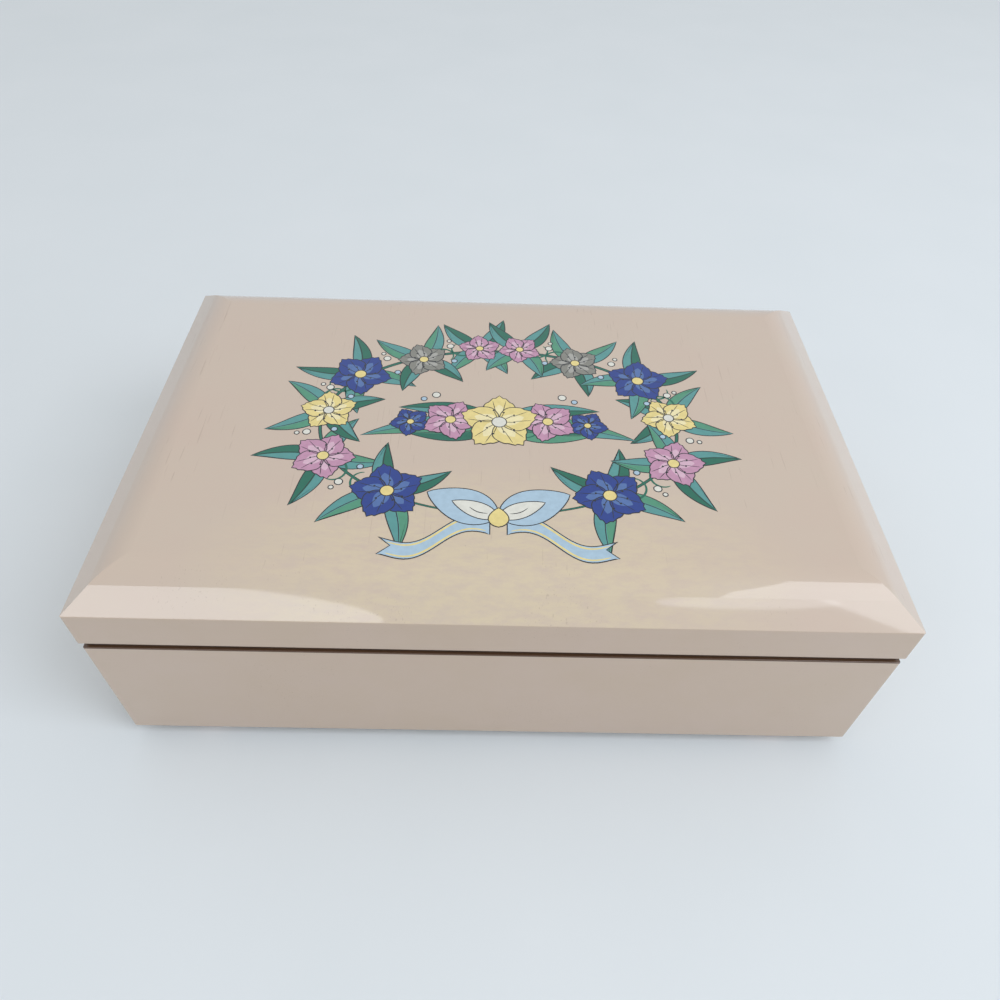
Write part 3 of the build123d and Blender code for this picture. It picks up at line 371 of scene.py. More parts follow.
def shade_in_lining_gaps(shader, corner, colour):
    """Paints shade on what lies around the middle of the box, out and up to a corner of the lining,
    so the gaps beside the lining read dark.
    """
    across = shader.math("ABSOLUTE", shader.part(shader.places, "X"))
    along = shader.math("ABSOLUTE", shader.part(shader.places, "Y"))
    inside = shader.math(
        "MULTIPLY",
        shader.ramp(across, corner.x + 2 * stain_and_shade_fade, corner.x + stain_and_shade_fade),
        shader.ramp(along, corner.y + 2 * stain_and_shade_fade, corner.y + stain_and_shade_fade),
    )
    top = corner.z + 1 * mm
    below = shader.ramp(shader.part(shader.places, "Z"), top, top - stain_and_shade_fade)
    shader.paint_over(shader.math("MULTIPLY", inside, below), colour)


# Materials by the record's slots. The tops of the walls show in the groove under the lid, their
# inner faces above the lining, and the bottom panel between the floor pads.
lid_paint = lacquer("lacquer_lid", peach, on_lid=True)
# The walls take the darker side peach, painted shade for upright faces
shaded_side_paint = lacquer("lacquer_sides_painted_shade", peach_side_shaded, on_lid=False)
stain_and_shade_level_faces(shaded_side_paint, wall_top_z, 1 * mm, groove_brown)
# Dark wine painted shade on the inner faces of the walls, seen in the gaps beside the lining
shade_in_lining_gaps(shaded_side_paint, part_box("wall_lining")[1], wine_deep)
bottom_paint = board("bottom_paint", peach_pink)
# Dark wine painted shade on the bottom panel, seen in the gaps between the floor pads
stain_and_shade_level_faces(bottom_paint, panel_top_z, 0.3 * mm, wine_deep)
velvet_cloth = velvet("velvet_wine", wine, wine_deep)
hinge_yellow, hinge_dull = tone(222, 184, 110), tone(178, 140, 80)
cast_grey, cast_dull = tone(196, 194, 186), tone(160, 158, 150)
spring_blue, spring_dull = tone(186, 190, 198), tone(150, 152, 160)
plate_grey, plate_dull = tone(208, 208, 210), tone(176, 176, 180)
gear_yellow, gear_dull = tone(224, 188, 112), tone(186, 146, 84)
brushed_along_x, unbrushed = (0.06, 1, 1), (1, 1, 1)
finishes = {
    "lacquered_wood": shaded_side_paint,
    "bottom_board": bottom_paint,
    "dark_lip": stained_lip(),
    "foot_lacquer": lacquer("lacquer_feet", tone(206, 168, 150), on_lid=False),
    "hinge_brass": metal("hinge_brass_polish", hinge_yellow, hinge_dull, 0.22),
    "velvet": velvet_cloth,
    "backing_card": board("backing_card_fibre", tone(176, 160, 138)),
    "mirror": silvered_glass(),
    "bare_wood": timber("bare_wood_grain", tone(206, 172, 128), tone(168, 128, 86), 0.6),
    "clear_cover": clear_plastic(),
    "zinc_bed": metal("zinc_bed_cast", cast_grey, cast_dull, 0.35, unbrushed),
    "spring_steel": metal("spring_steel_brushed", spring_blue, spring_dull, 0.25, brushed_along_x),
    "movement_steel": metal("movement_steel_plate", plate_grey, plate_dull, 0.18),
    "movement_brass": metal("movement_brass_turned", gear_yellow, gear_dull, 0.24),
}
for row in frame["record"]["subparts"]:
    piece = frame["nodes"][row["node"]]
    finish = lid_paint if row["node"] == "lid_top" else finishes[row["material_slot"]]
    piece.data.materials.clear()
    piece.data.materials.append(finish.material)


# Soft pieces


def scene_object(name, data):
    """A new object in the scene that holds some data."""
    made = bpy.data.objects.new(name, data)
    bpy.context.scene.collection.objects.link(made)
    return made


def mesh_piece(name, points, faces, body, materials, smooth=True):
    """A mesh object that rides on a body."""
    data = bpy.data.meshes.new(name)
    data.from_pydata(points, [], faces)
    data.validate()
    for material in materials:
        data.materials.append(material)
    data.polygons.foreach_set("use_smooth", [smooth] * len(data.polygons))
    data.update()
    piece = scene_object(name, data)
    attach(piece, body)
    return piece


def body_of(node):
    """The body that holds a node."""
    bodies = frame["record"]["behaviour"]["bodies"]
    return [body for body, nodes in bodies.items() if node in nodes][0]


def edge_steps(half, edge, count):
    """Coordinates from -half to half, with closer steps inside the rounded edges."""
    rounding = 5
    inner = half - edge
    left = [-half + edge * (1 - cos(pi / 2 * i / rounding)) for i in range(rounding)]
    middle = [-inner + 2 * inner * i / count for i in range(count + 1)]
    return left + middle + [-v for v in reversed(left)]


def soft_pad(name, low, high, up, edge, crown, node):
    """A closed velvet pad in the space between two corners, with round edges and corners.

    The face on the high side of the up axis is crowned, unless crown is negative, which crowns
    the low side. The crowned face has a slight unevenness.
    """
    up = "xyz".index(up)
    wide, deep = [(1, 2), (0, 2), (0, 1)][up]
    half = [(high[i] - low[i]) / 2 for i in range(3)]
    middle = [(high[i] + low[i]) / 2 for i in range(3)]
    wide_steps, deep_steps = 26, 18
    us = edge_steps(half[wide], edge, wide_steps)
    vs = edge_steps(half[deep], edge, deep_steps)
    thick = half[up]
    unevenness, unevenness_size = 0.05 * mm, 7 * mm

    def place(u, v, side):
        reach_u = max(0.0, abs(u) - (half[wide] - edge))
        reach_v = max(0.0, abs(v) - (half[deep] - edge))
        if reach_u and reach_v:
            # Squares of the grid at a corner are drawn in to arcs
            largest = max(reach_u, reach_v)
            shrink = largest / hypot(reach_u, reach_v)
            u = (half[wide] - edge + reach_u * shrink) * (1 if u > 0 else -1)
            v = (half[deep] - edge + reach_v * shrink) * (1 if v > 0 else -1)
            from_side = edge - largest
        else:
            from_side = min(half[wide] - abs(u), half[deep] - abs(v))
        slope = min(1.0, max(0.0, from_side) / edge)
        lift = sqrt(max(0.0, 1 - (1 - slope) ** 2))
        bulge = (1 - (u / half[wide]) ** 4) * (1 - (v / half[deep]) ** 4)
        rest = thick - min(edge, thick)
        drop, grain = 0.0, 0.0
        if side * crown > 0:
            drop = abs(crown) * (1 - bulge)
            grain = unevenness * noise.noise(Vector((u, v, side * 0.01)) / unevenness_size)
        height = side * (rest + (thick - rest - drop) * lift) + side * min(0.0, grain * lift)
        point = [0.0, 0.0, 0.0]
        point[wide] = middle[wide] + u
        point[deep] = middle[deep] + v
        point[up] = middle[up] + height
        return point

    points = [place(u, v, side) for side in (1, -1) for u in us for v in vs]
    faces = []
    across, along = len(us), len(vs)
    sheet_size = across * along
    for sheet in (0, 1):
        for i in range(across - 1):
            for j in range(along - 1):
                a = sheet * sheet_size + i * along + j
                ring = [a, a + 1, a + along + 1, a + along]
                faces.append(ring if sheet else ring[::-1])
    border = (
        [(i, 0) for i in range(across - 1)]
        + [(across - 1, j) for j in range(along - 1)]
        + [(i, along - 1) for i in range(across - 1, 0, -1)]
        + [(0, j) for j in range(along - 1, 0, -1)]
    )
    for (i, j), (k, m) in zip(border, border[1:] + border[:1]):
        a, b = i * along + j, k * along + m
        faces.append([b, a, a + sheet_size, b + sheet_size])
    if up == 1:
        # X, Z and Y in this order are left-handed, so the faces are turned back outwards
        faces = [face[::-1] for face in faces]
    piece = mesh_piece(name, points, faces, body_of(node), [velvet_cloth.material])
    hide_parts(node)


def swell(piece, low, high, glued):
    """Swells a closed velvet piece as cloth under pressure, within its space, and keeps the shape.

    The trial runs on an enlarged copy, because cloth is steadier at that size. Points for which
    glued is true stay in place.
    """
    enlarged, frames = 100.0, 16
    pressure, growth, furthest = 4.0, 0.05, 0.5 * mm
    scene = bpy.context.scene
    data = piece.data.copy()
    data.transform(Matrix.Scale(enlarged, 4))
    trial = scene_object("cloth_trial", data)
    group = trial.vertex_groups.new(name="held")
    group.add([v.index for v in piece.data.vertices if glued(v.co)], 1.0, "REPLACE")
    cloth = trial.modifiers.new("cloth", "CLOTH")
    cloth.settings.use_pressure = True
    cloth.settings.uniform_pressure_force = pressure
    cloth.settings.vertex_group_mass = group.name
    cloth.settings.shrink_min = -growth
    cloth.settings.effector_weights.gravity = 0.0
    cloth.point_cache.frame_start = 1
    cloth.point_cache.frame_end = frames
    for frame_number in range(1, frames + 1):
        scene.frame_set(frame_number)
    shaped = trial.evaluated_get(bpy.context.evaluated_depsgraph_get())
    for point, moved in zip(piece.data.vertices, shaped.data.vertices):
        shift = moved.co / enlarged - point.co
        if shift.length > furthest:
            shift *= furthest / shift.length
        place = point.co + shift
        point.co = [min(max(place[i], low[i]), high[i]) for i in range(3)]
    piece.data.update()
    bpy.data.objects.remove(trial)
    bpy.data.meshes.remove(data)
    scene.frame_set(1)


def solids_of(node):
    """The boxes of the separate solids in a CAD node, in order of place."""
    data = frame["nodes"][node].data
    owner = list(range(len(data.vertices)))

    def root(i):
        while owner[i] != i:
            owner[i] = owner[owner[i]]
            i = owner[i]
        return i

    seen = {}
    for vertex in data.vertices:
        key = tuple(round(v, 6) for v in vertex.co)
        if key in seen:
            owner[root(vertex.index)] = root(seen[key])
        seen[key] = vertex.index
    for a, b in (tuple(edge.vertices) for edge in data.edges):
        owner[root(a)] = root(b)
    groups = {}
    for vertex in data.vertices:
        groups.setdefault(root(vertex.index), []).append(vertex.co)
    boxes = []
    for group in groups.values():
        axes = list(zip(*group))
        boxes.append((Vector([min(axis) for axis in axes]), Vector([max(axis) for axis in axes])))
    return sorted(boxes, key=lambda box: (round(box[0].y, 4), round(box[0].x, 4)))


def thin_way(low, high):
    """The level axis along which an upright card is thin."""
    return "x" if high.x - low.x < high.y - low.y else "y"


# Floor pads and lining cards, one object for each, then the dividers and the ring riser
for number, (low, high) in enumerate(solids_of("floor_pads"), 1):
    soft_pad(f"floor_pad_{number}", low, high, "z", 0.45 * mm, 0.15 * mm, "floor_pads")
for number, (low, high) in enumerate(solids_of("wall_lining"), 1):
    thin = thin_way(low, high)
    inward = -1 if (low + high)["xyz".index(thin)] > 0 else 1
    crown = inward * 0.15 * mm
    soft_pad(f"wall_lining_{number}", low, high, thin, 0.5 * mm, crown, "wall_lining")
dividers = (
    "long_divider",
    "front_left_divider",
    "front_right_divider",
    "ring_divider",
    "movement_divider",
)
for node in dividers:
    low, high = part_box(node)
    soft_pad(f"{node}_velvet", low, high, thin_way(low, high), 1.4 * mm, 0.1 * mm, node)
low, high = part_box("ring_riser")
soft_pad("ring_riser_velvet", low, high, "z", 1.0 * mm, 0.1 * mm, "ring_riser")


def ring_roll(node):
    """A foam roll in velvet, flat where it is glued down and gathered at its ends."""
    low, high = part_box(node)
    centre = (low + high) / 2
    swelling_room = 0.2 * mm
    radius = (high.y - low.y) / 2 - swelling_room
    axis_z = high.z - swelling_room - radius
    half = (high.x - low.x) / 2
    around, along = 64, 72
    round_end, fold_reach = 3.2 * mm, 5 * mm
    folds, fold_depth, fold_drift, taper = 16, 0.035, 1.7, 0.03
    dent, dent_size = 0.06 * mm, 6 * mm
    glued_height = 1.2 * mm
    # A steady number that makes the folds of neighbouring rolls differ
    seed = 3.1 * int(node[-1])
    points, faces = [], []
    for i in range(along + 1):
        x = -half * cos(pi * i / along)
        from_end = half - abs(x)
        cap = sqrt(max(0.0, 1 - (1 - min(1.0, from_end / round_end)) ** 2))
        crown = 1 - taper * (x / half) ** 2
        fold = fold_depth * exp(-from_end / fold_reach)
        for j in range(around):
            turn = 2 * pi * j / around
            drift = fold_drift * noise.noise(Vector((turn, seed, 0)))
            pucker = 1 - fold * (0.5 + 0.5 * cos(folds * turn + drift))
            spot = Vector((x / dent_size, 2 * cos(turn), 2 * sin(turn) + seed))
            wave = min(0.0, dent * noise.noise(spot))
            reach = radius * crown * pucker * (0.25 + 0.75 * cap) + wave
            z = max(low.z, axis_z + reach * sin(turn))
            points.append((centre.x + x, centre.y + reach * cos(turn), z))
    for i in range(along):
        for j in range(around):
            a, b = i * around + j, i * around + (j + 1) % around
            faces.append([a + around, b + around, b, a])
    faces.append(list(range(around)))
    faces.append([along * around + j for j in reversed(range(around))])
    material = velvet_cloth.material
    piece = mesh_piece(f"{node}_velvet", points, faces, "base", [material])
    swell(piece, low, high, lambda place: place.z < low.z + glued_height)
    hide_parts(node)


for node in ("ring_roll_1", "ring_roll_2", "ring_roll_3", "ring_roll_4"):
    ring_roll(node)


def mirror_surround():
    """The velvet frame of the mirror: four padded sides, gathered at the window and mitred."""
    low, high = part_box("mirror_surround")
    glass_low, glass_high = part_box("mirror")
    overlap, room, glass_gap = 3.0 * mm, 0.15 * mm, 0.05 * mm
    tuck, glued_band = 1.6 * mm, 0.3 * mm
    window_x, window_y = glass_high.x - overlap, glass_high.y - overlap
    face_z = glass_low.z - glass_gap
    tucked_z = glass_low.z + tuck
    across_steps, side_steps = 22, 90
    seam_depth, seam_reach = 0.7, 0.012
    gathers, gather_depth, gather_reach = 32, 0.16, 0.2
    ripple_depth, ripple_size = 0.14, 8 * mm
    # The outline of a square from -1 to 1, with closer points at its corners
    ring = []
    corners = [(-1, -1), (1, -1), (1, 1), (-1, 1)]
    for n, (cx, cy) in enumerate(corners):
        nx, ny = corners[(n + 1) % 4]
        for i in range(side_steps):
            share = 0.5 - 0.5 * cos(pi * i / side_steps)
            ring.append((cx + (nx - cx) * share, cy + (ny - cy) * share, share))
    # The padded face, from the outer edge to the window
    loops = []
    for i in range(across_steps + 1):
        share = 0.5 - 0.5 * cos(pi * i / across_steps)
        edge_z = tucked_z + (face_z - tucked_z) * share
        bow_share = sin(pi * share) ** 0.7 if 0 < i < across_steps else 0.0
        loop = []
        for sx, sy, along_side in ring:
            x = sx * (high.x + (window_x - high.x) * share)
            y = sy * (high.y + (window_y - high.y) * share)
            from_seam = min(along_side, 1 - along_side)
            seam = seam_depth * exp(-from_seam / seam_reach)
            wave = 0.5 + 0.5 * sin(2 * gathers * pi * along_side)
            gather = gather_depth * wave * exp(-(1 - share) / gather_reach)
            ripple = ripple_depth * abs(noise.noise(Vector((x, y, 0)) / ripple_size))
            fullness = bow_share * (1 - min(0.9, seam + gather + ripple))
            loop.append((x, y, edge_z - (edge_z - low.z) * fullness))
        loops.append(loop)
    # The back: under the glass, up along its edge and out to the sides
    for reach_x, reach_y, z in (
        (glass_high.x + room, glass_high.y + room, face_z),
        (glass_high.x + room, glass_high.y + room, high.z),
        (high.x, high.y, high.z),
    ):
        loops.append([(sx * reach_x, sy * reach_y, z) for sx, sy, _ in ring])
    count = len(ring)
    points = [point for loop in loops for point in loop]
    faces = []
    for i in range(len(loops)):
        after = (i + 1) % len(loops)
        for j in range(count):
            k = (j + 1) % count
            faces.append([i * count + k, i * count + j, after * count + j, after * count + k])
    material = velvet_cloth.material
    piece = mesh_piece("mirror_surround_velvet", points, faces, "lid", [material])
    swell(piece, low, high, lambda place: place.z > tucked_z - glued_band)
    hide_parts("mirror_surround")


mirror_surround()


# Print on the lid: a garland of simple blossoms around a small spray, tied with a ribbon bow.
# Each film of ink has a level of its own, so that no two films lie at the same height.
line_width = 0.28 * mm
film_step = 0.001 * mm
print_parts = {ink: ([], []) for ink in inks}


def turned_area(outline):
    """Twice the area of an outline, above 0 where it runs anticlockwise."""
    return sum(a[0] * b[1] - b[0] * a[1] for a, b in zip(outline, outline[1:] + outline[:1]))


def film(outline, ink, level):
    """A thin film of one ink over a closed outline, a number of steps above the lid."""
    points, faces = print_parts[ink]
    start, count = len(points), len(outline)
    if turned_area(outline) < 0:
        outline = outline[::-1]
    points.extend((x, y, lid_top_z + film_step * (level + 2)) for x, y in outline)
    points.extend((x, y, lid_top_z - film_step) for x, y in outline)
    faces.append([start + i for i in range(count)])
    faces.append([start + count + i for i in range(count)][::-1])
    for i in range(count):
        k = (i + 1) % count
        faces.append([start + i, start + count + i, start + count + k, start + k])


def inset(outline, width):
    """An outline drawn in by a width along its own normals."""
    count = len(outline)
    way = 1 if turned_area(outline) > 0 else -1
    drawn = []
    for i in range(count):
        (ax, ay), (bx, by), (cx, cy) = outline[i - 1], outline[i], outline[(i + 1) % count]
        dx, dy = cx - ax, cy - ay
        size = hypot(dx, dy) or 1.0
        drawn.append((bx - way * dy / size * width, by + way * dx / size * width))
    return drawn


def outlined(outline, ink, level):
    """A dark contour with a film of ink inside it, on two levels."""
    film(outline, "line", level)
    film(inset(outline, line_width), ink, level + 1)


def stroke(path, width, ink, level):
    """A line along a path that thins towards its ends."""
    thin_end = 0.3
    left, right = [], []
    last = len(path) - 1
    for i, (x, y) in enumerate(path):
        ax, ay = path[max(0, i - 1)]
        bx, by = path[min(last, i + 1)]
        size = hypot(bx - ax, by - ay) or 1.0
        fullness = sqrt(sin(pi * i / last)) if 0 < i < last else 0.0
        reach = 0.5 * width * (thin_end + (1 - thin_end) * fullness)
        nx, ny = -(by - ay) / size * reach, (bx - ax) / size * reach
        left.append((x + nx, y + ny))
        right.append((x - nx, y - ny))
    film(left + right[::-1], ink, level)


def turned(points, place, turn):
    """Points drawn around the origin, turned and moved to a place."""
    c, s = cos(turn), sin(turn)
    return [(place[0] + x * c - y * s, place[1] + x * s + y * c) for x, y in points]


def circle(place, radius, count=20):
    """The outline of a circle around a place."""
    steps = [2 * pi * i / count for i in range(count)]
    return [(place[0] + radius * cos(t), place[1] + radius * sin(t)) for t in steps]


def petal(length, half_width, waves=0.0):
    """A rounded petal from the origin along +X, with a gently waved tip."""
    count = 18
    side = []
    for i in range(count + 1):
        share = i / count
        y = half_width * sin(pi * share**0.8) ** 0.75 if 0 < i < count else 0.0
        side.append((length * share * (1 + waves * cos(5 * pi * y / half_width)), y))
    return side + [(x, -y) for x, y in side[-2:0:-1]]


def blossom(place, radius, turn, ink, inner, level):
    """A five-petalled blossom with a paler heart in each petal, veins and dark stamens."""
    petals, petal_levels = 5, 3
    crown = level + petal_levels * petals
    shape = petal(radius, radius * 0.46, 0.03)
    heart = petal(radius * 0.66, radius * 0.2)
    steps = [i / 6 for i in range(7)]
    for n in range(petals):
        heading = turn + 2 * pi * n / petals
        own_level = level + petal_levels * n
        outlined(turned(shape, place, heading), ink, own_level)
        film(turned(heart, place, heading), inner, own_level + 2)
        for lean in (-0.17, 0.17):
            vein = [(radius * (0.35 + 0.45 * t), radius * lean * (0.5 + 0.5 * t)) for t in steps]
            stroke(turned(vein, place, heading), line_width * 0.7, "line", crown)
    start, stamen_tip = radius * 0.15, 0.3 * mm
    for n in range(2 * petals):
        heading = turn + pi * (n + 0.5) / petals
        reach = radius * (0.38 if n % 2 else 0.46)
        stem = [(start + (reach - start) * i / 4, 0.0) for i in range(5)]
        stroke(turned(stem, place, heading), line_width * 0.8, "line", crown + 1)
        tip = turned([(reach, 0.0)], place, heading)[0]
        film(circle(tip, stamen_tip, 10), "line", crown + 2)
    outlined(circle(place, radius * 0.2), "yellow" if ink != "yellow" else "ivory", crown + 3)


def leaf(root, heading, length, half_width, bend, ink, other, level):
    """A pointed leaf along a bent midrib, with one half in a second ink."""
    count = 18
    spine = [(length * i / count, bend * length * (i / count) ** 2) for i in range(count + 1)]
    near, far = [], []
    for i, (x, y) in enumerate(spine):
        share = i / count
        width = half_width * sin(pi * share**0.8) ** 0.9 if 0 < i < count else 0.0
        slope = atan2(2 * bend * share, 1.0)
        near.append((x - sin(slope) * width, y + cos(slope) * width))
        far.append((x + sin(slope) * width, y - cos(slope) * width))
    outlined(turned(near + far[-2:0:-1], root, heading), ink, level)
    half_leaf = near[:-1] + [spine[-1]] + spine[-2:0:-1]
    film(turned(inset(half_leaf, line_width), root, heading), other, level + 2)
    stroke(turned(spine[1:-1], root, heading), line_width * 0.9, "line", level + 3)


def tendril(root, heading, length, bend, level):
    """A thin stem that curls in towards its tip."""
    path, (x, y), way = [], root, heading
    steps = 26
    for i in range(steps + 1):
        path.append((x, y))
        way += bend * (1 + 3 * i / steps) / steps
        x += length / steps * cos(way)
        y += length / steps * sin(way)
    stroke(path, 0.6 * mm, "green", level)


garland_x, garland_y = 49 * mm, 33 * mm
garland_centre = (0.0, -4 * mm)
leaf_level, tendril_level, berry_level, blossom_level, bow_level = 2, 34, 35, 37, 57
leaf_levels = 4


def on_garland(degrees, out=0.0):
    """A point of the garland's oval, moved outwards, and the heading along the oval there."""
    angle = radians(degrees)
    x = garland_centre[0] + garland_x * cos(angle)
    y = garland_centre[1] + garland_y * sin(angle)
    along = atan2(garland_y * cos(angle), -garland_x * sin(angle))
    return (x + out * sin(along), y - out * cos(along)), along


def berry(place, radius, ink):
    """A small round berry with a dark contour."""
    outlined(circle(place, radius, 16), ink, berry_level)


def garland():
    """The vine with its leaves, berries and blossoms, the same on the left and the right."""
    vine_start, vine_sweep, vine_steps = -84, 348, 140
    steps = [i / vine_steps for i in range(vine_steps + 1)]
    path = [on_garland(vine_start + vine_sweep * t)[0] for t in steps]
    stroke(path, 1.2 * mm, "line", 0)
    stroke(path, 0.7 * mm, "green", 1)
    # Each blossom of the right half: its degrees on the oval, its radius in mm and its inks
    half = [
        (-54, 9.6, "cobalt", "blue"),
        (-23, 8.6, "mauve", "mauve_pale"),
        (8, 8.0, "yellow", "yellow_pale"),
        (36, 9.2, "cobalt", "blue"),
        (62, 7.6, "grey", "grey_pale"),
        (83, 6.6, "mauve", "mauve_pale"),
    ]
    flowers = [(degrees, 1, *rest) for degrees, *rest in half]
    flowers += [(180 - degrees, -1, *rest) for degrees, *rest in reversed(half)]
    for number, (degrees, side, radius, ink, inner) in enumerate(flowers):
        odd = min(number, len(flowers) - 1 - number) % 2
        place, along = on_garland(degrees, (1.5 if odd else -1.0) * mm)
        # Two leaves point on along the vine and two point back
        for k, lean in enumerate((0.6, -0.6, pi - 0.75, 0.75 - pi)):
            green, other = ("teal", "sage") if (k + odd) % 2 else ("green", "teal")
            length = (radius + (9.5 if k % 2 else 7.5)) * mm
            level = leaf_level + leaf_levels * (k + 4 * (number % 2))
            bend = (0.3 if lean > 0 else -0.3) * (1 if k < 2 else -1)
            leaf(place, along + lean, length, 2.9 * mm, bend, green, other, level)
        way = along + (pi / 2 if odd else -pi / 2) + 0.5 * side
        tendril(place, way, (radius + 8) * mm, 1.5 * side, tendril_level)
        blossom(place, radius * mm, along + 0.3 * side, ink, inner, blossom_level)
    # Berries between the blossoms, two outside the vine and one inside
    for degrees in (-38, -7, 22, 49.5, 73):
        for angle in (degrees, 180 - degrees):
            for out, size, ink in ((3.6, 1.2, "ivory"), (-3.8, 1.0, "sky"), (6.2, 0.8, "ivory")):
                berry(on_garland(angle, out * mm)[0], size * mm, ink)


def spray():
    """The small spray in the middle of the garland: five blossoms on long arching leaves."""
    x, y = garland_centre
    # Each leaf of one side: its heading, its length in mm, its bend and its inks
    leaves = (
        (0.1, 37, -0.25, "teal", "sage"),
        (0.6, 27, -0.4, "green", "teal"),
        (-0.45, 26, 0.35, "sage", "green"),
    )
    for side in (1, -1):
        for k, (heading, length, bend, green, other) in enumerate(leaves):
            way = heading if side == 1 else pi - heading
            level = leaf_level + leaf_levels * (k + len(leaves) * (side == 1))
            leaf((x, y), way, length * mm, 3.6 * mm, bend * side, green, other, level)
        tendril((x, y), pi / 2 - side * 0.7, 20 * mm, -1.7 * side, tendril_level)
        berry((x + side * 18 * mm, y + 12 * mm), 1.3 * mm, "ivory")
        berry((x + side * 21.4 * mm, y + 10.2 * mm), 1.0 * mm, "sky")
        outer = (x + side * 24.5 * mm, y + 0.4 * mm)
        blossom(outer, 5.8 * mm, pi / 2 - 0.5 * side, "cobalt", "blue", blossom_level)
        inner = (x + side * 13.5 * mm, y + 1.6 * mm)
        inner_level = blossom_level + 20
        blossom(inner, 8.2 * mm, pi / 2 + 0.4 * side, "mauve", "mauve_pale", inner_level)
    middle_level = blossom_level + 40
    blossom((x, y + 1 * mm), 11.0 * mm, pi / 2, "yellow", "yellow_pale", middle_level)


def bow():
    """A ribbon bow at the foot of the garland, with yellow lines along its tails."""
    knot = (garland_centre[0], garland_centre[1] - garland_y - 1.0 * mm)
    half_ribbon, half_lines, notch, lean = 2.6 * mm, 1.7 * mm, 3 * mm, radians(24)

    def beside(path, height):
        return [(knot[0] + x, knot[1] + y + height) for x, y in path]

    for side in (1, -1):
        tail = []
        for i in range(25):
            t = i / 24
            fall = -3 - 8 * t + 2.4 * sin(2.2 * pi * t)
            tail.append((side * (2 + 27 * t) * mm, fall * mm))
        upper, lower = beside(tail, half_ribbon), beside(tail, -half_ribbon)
        end = (upper[-1][0] - side * notch, (upper[-1][1] + lower[-1][1]) / 2)
        outlined(upper + [end] + lower[::-1], "sky", bow_level)
        for height in (half_lines, -half_lines):
            stroke(beside(tail[1:-2], height), 0.55 * mm, "yellow", bow_level + 2)
        heading = lean if side == 1 else pi - lean
        outlined(turned(petal(20 * mm, 5.8 * mm), knot, heading), "sky", bow_level + 3)
        outlined(turned(petal(13 * mm, 2.7 * mm), knot, heading), "ivory", bow_level + 5)
        steps = [i / 6 for i in range(7)]
        crease = [((3 + 5 * t) * mm, -0.6 * side * mm * sin(pi * t)) for t in steps]
        stroke(turned(crease, knot, heading), line_width, "line", bow_level + 7)
    below_knot = (knot[0], knot[1] - 3.3 * mm)
    outlined(turned(petal(6.6 * mm, 2.7 * mm), below_knot, pi / 2), "yellow", bow_level + 8)


def ink_material(name, colour):
    """One flat ink under the lid's clear coat."""
    shader = Shader(f"print_{name}")
    grain = shader.clouds(1.5 * mm, detail=4.0)
    shader.colour(shader.blend(shader.ramp(grain, 0.35, 0.7), colour, darker(colour, 0.9)))
    shader.set(Roughness=0.35)
    clear_coat(shader)
    return shader.material


def lid_print():
    """Draws the whole print and gathers its films in one piece, with a material for each ink."""
    garland()
    spray()
    bow()
    points, faces, owners, materials = [], [], [], []
    for number, (ink, (own_points, own_faces)) in enumerate(print_parts.items()):
        start = len(points)
        points.extend(own_points)
        faces.extend([i + start for i in face] for face in own_faces)
        owners.extend([number] * len(own_faces))
        materials.append(ink_material(ink, inks[ink]))
    piece = mesh_piece("lid_print", points, faces, "lid", materials, smooth=False)
    piece.data.polygons.foreach_set("material_index", owners)
    piece.data.update()


lid_print()


# Stage: floor, world, lamps and camera


def floor():
    """A wide pale surface under the box."""
    shader = Shader("pale_floor")
    soft = shader.clouds(60 * mm, detail=2.0)
    shader.colour(shader.blend(soft, tone(219, 227, 232), tone(224, 231, 236)))
    shader.set(Roughness=0.9, Specular_IOR_Level=0.1)
    reach = 6.0
    corners = [(-reach, -reach, 0), (reach, -reach, 0), (reach, reach, 0), (-reach, reach, 0)]
    data = bpy.data.meshes.new("floor")
    data.from_pydata(corners, [], [[0, 1, 2, 3]])
    data.materials.append(shader.material)
    scene_object("floor", data)


def world():
    """Pale light, stronger from above, and the backdrop that the camera and reflections see."""
    overhead = (0.08, 0.05, 0.995)
    level_light, overhead_light = 0.35, 1.01
    made = bpy.data.worlds.new("studio")
    made.use_nodes = True
    tree = made.node_tree
    tree.nodes.clear()
    output = tree.nodes.new("ShaderNodeOutputWorld")
    ambient = tree.nodes.new("ShaderNodeBackground")
    ambient.inputs["Color"].default_value = tone(244, 243, 242)
    directions = tree.nodes.new("ShaderNodeTexCoord")
    height = tree.nodes.new("ShaderNodeVectorMath")
    height.operation = "DOT_PRODUCT"
    height.inputs[1].default_value = overhead
    tree.links.new(directions.outputs["Generated"], height.inputs[0])
    strength = tree.nodes.new("ShaderNodeMapRange")
    spans = {"From Min": 0.0, "From Max": 1.0, "To Min": level_light, "To Max": overhead_light}
    for name, number in spans.items():
        strength.inputs[name].default_value = number
    tree.links.new(height.outputs["Value"], strength.inputs["Value"])
    tree.links.new(strength.outputs["Result"], ambient.inputs["Strength"])
    backdrop = tree.nodes.new("ShaderNodeBackground")
    backdrop.inputs["Color"].default_value = tone(208, 214, 220)
    backdrop.inputs["Strength"].default_value = 1.0
    paths = tree.nodes.new("ShaderNodeLightPath")
    seen = paths.outputs["Is Camera Ray"]
    for way in ("Is Glossy Ray", "Is Transmission Ray"):
        either = tree.nodes.new("ShaderNodeMath")
        either.operation = "MAXIMUM"
        tree.links.new(seen, either.inputs[0])
        tree.links.new(paths.outputs[way], either.inputs[1])
        seen = either.outputs["Value"]
    mix = tree.nodes.new("ShaderNodeMixShader")
    tree.links.new(seen, mix.inputs["Fac"])
    tree.links.new(ambient.outputs["Background"], mix.inputs[1])
    tree.links.new(backdrop.outputs["Background"], mix.inputs[2])
    tree.links.new(mix.outputs["Shader"], output.inputs["Surface"])
    bpy.context.scene.world = made


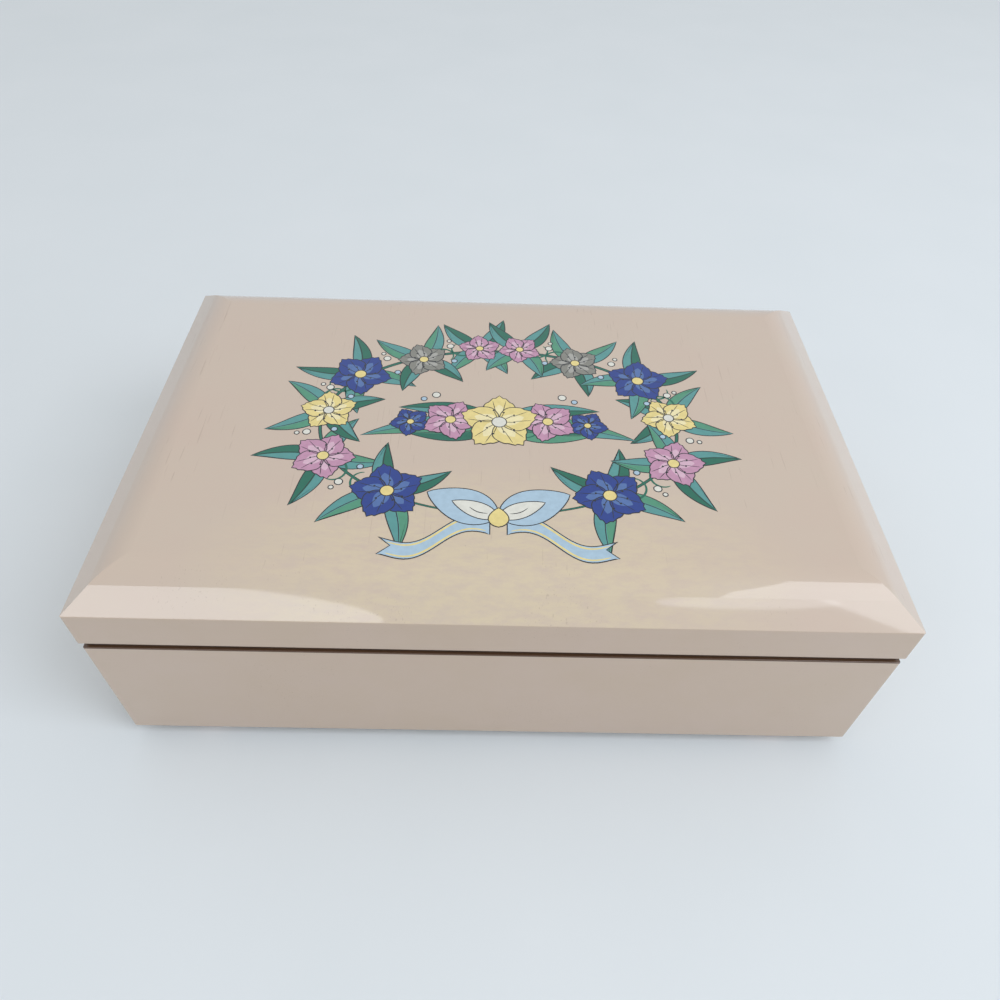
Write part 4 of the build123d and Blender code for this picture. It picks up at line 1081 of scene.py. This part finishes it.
def softbox(name, shape, place, along, width, height, radiance):
    """A flat daylight lamp of a given radiance that faces the box, with its width along an axis."""
    aim = Vector((0, 0, 0.06))
    lamp = bpy.data.lights.new(name, "AREA")
    lamp.shape = shape
    lamp.size = width
    lamp.size_y = height
    area = width * height * (pi / 4 if shape == "ELLIPSE" else 1)
    lamp.energy = radiance * pi * area
    lamp.color = (0.96, 1.0, 1.06)
    back = (Vector(place) - aim).normalized()
    side = (Vector(along) - Vector(along).dot(back) * back).normalized()
    turn = Matrix((side, back.cross(side), back)).transposed().to_4x4()
    scene_object(name, lamp).matrix_world = Matrix.Translation(place) @ turn


def camera():
    """The photograph's camera: a wide phone lens close above the front edge, aimed down."""
    # The focal length as a share of the width of the picture, from a fit of the box's corners
    focal_share = 0.78366
    sensor_width = 36.0
    place = Vector((-3.4 * mm, -165.2 * mm, 210.8 * mm))
    yaw, pitch, roll = 0.028, 0.831, 0.043
    forward = Vector((sin(yaw) * cos(pitch), cos(yaw) * cos(pitch), -sin(pitch)))
    level_right = Vector((cos(yaw), -sin(yaw), 0.0))
    level_up = level_right.cross(forward)
    right = cos(roll) * level_right + sin(roll) * level_up
    up = -sin(roll) * level_right + cos(roll) * level_up
    data = bpy.data.cameras.new("camera")
    data.lens = focal_share * sensor_width
    data.sensor_width = sensor_width
    data.sensor_fit = "HORIZONTAL"
    data.clip_start = 1 * mm
    holder = scene_object("camera", data)
    turn = Matrix((right, up, -forward)).transposed().to_4x4()
    holder.matrix_world = Matrix.Translation(place) @ turn
    bpy.context.scene.camera = holder


floor()
world()
along_x, along_y = (1, 0, 0), (0, 1, 0)
softbox("window_right", "RECTANGLE", (0.71, -0.42, 1.0), along_y, 0.66, 0.6, 3.2)
softbox("window_far", "RECTANGLE", (1.3, -0.5, 0.7), along_y, 0.7, 0.8, 2.1)
softbox("strip_right", "ELLIPSE", (0.44, -0.745, 0.98), along_x, 0.3, 0.022, 2.6)
softbox("strip_left", "ELLIPSE", (-0.66, -0.79, 0.98), along_x, 1.04, 0.115, 3.4)
camera()
bpy.context.scene.view_settings.view_transform = "Standard"
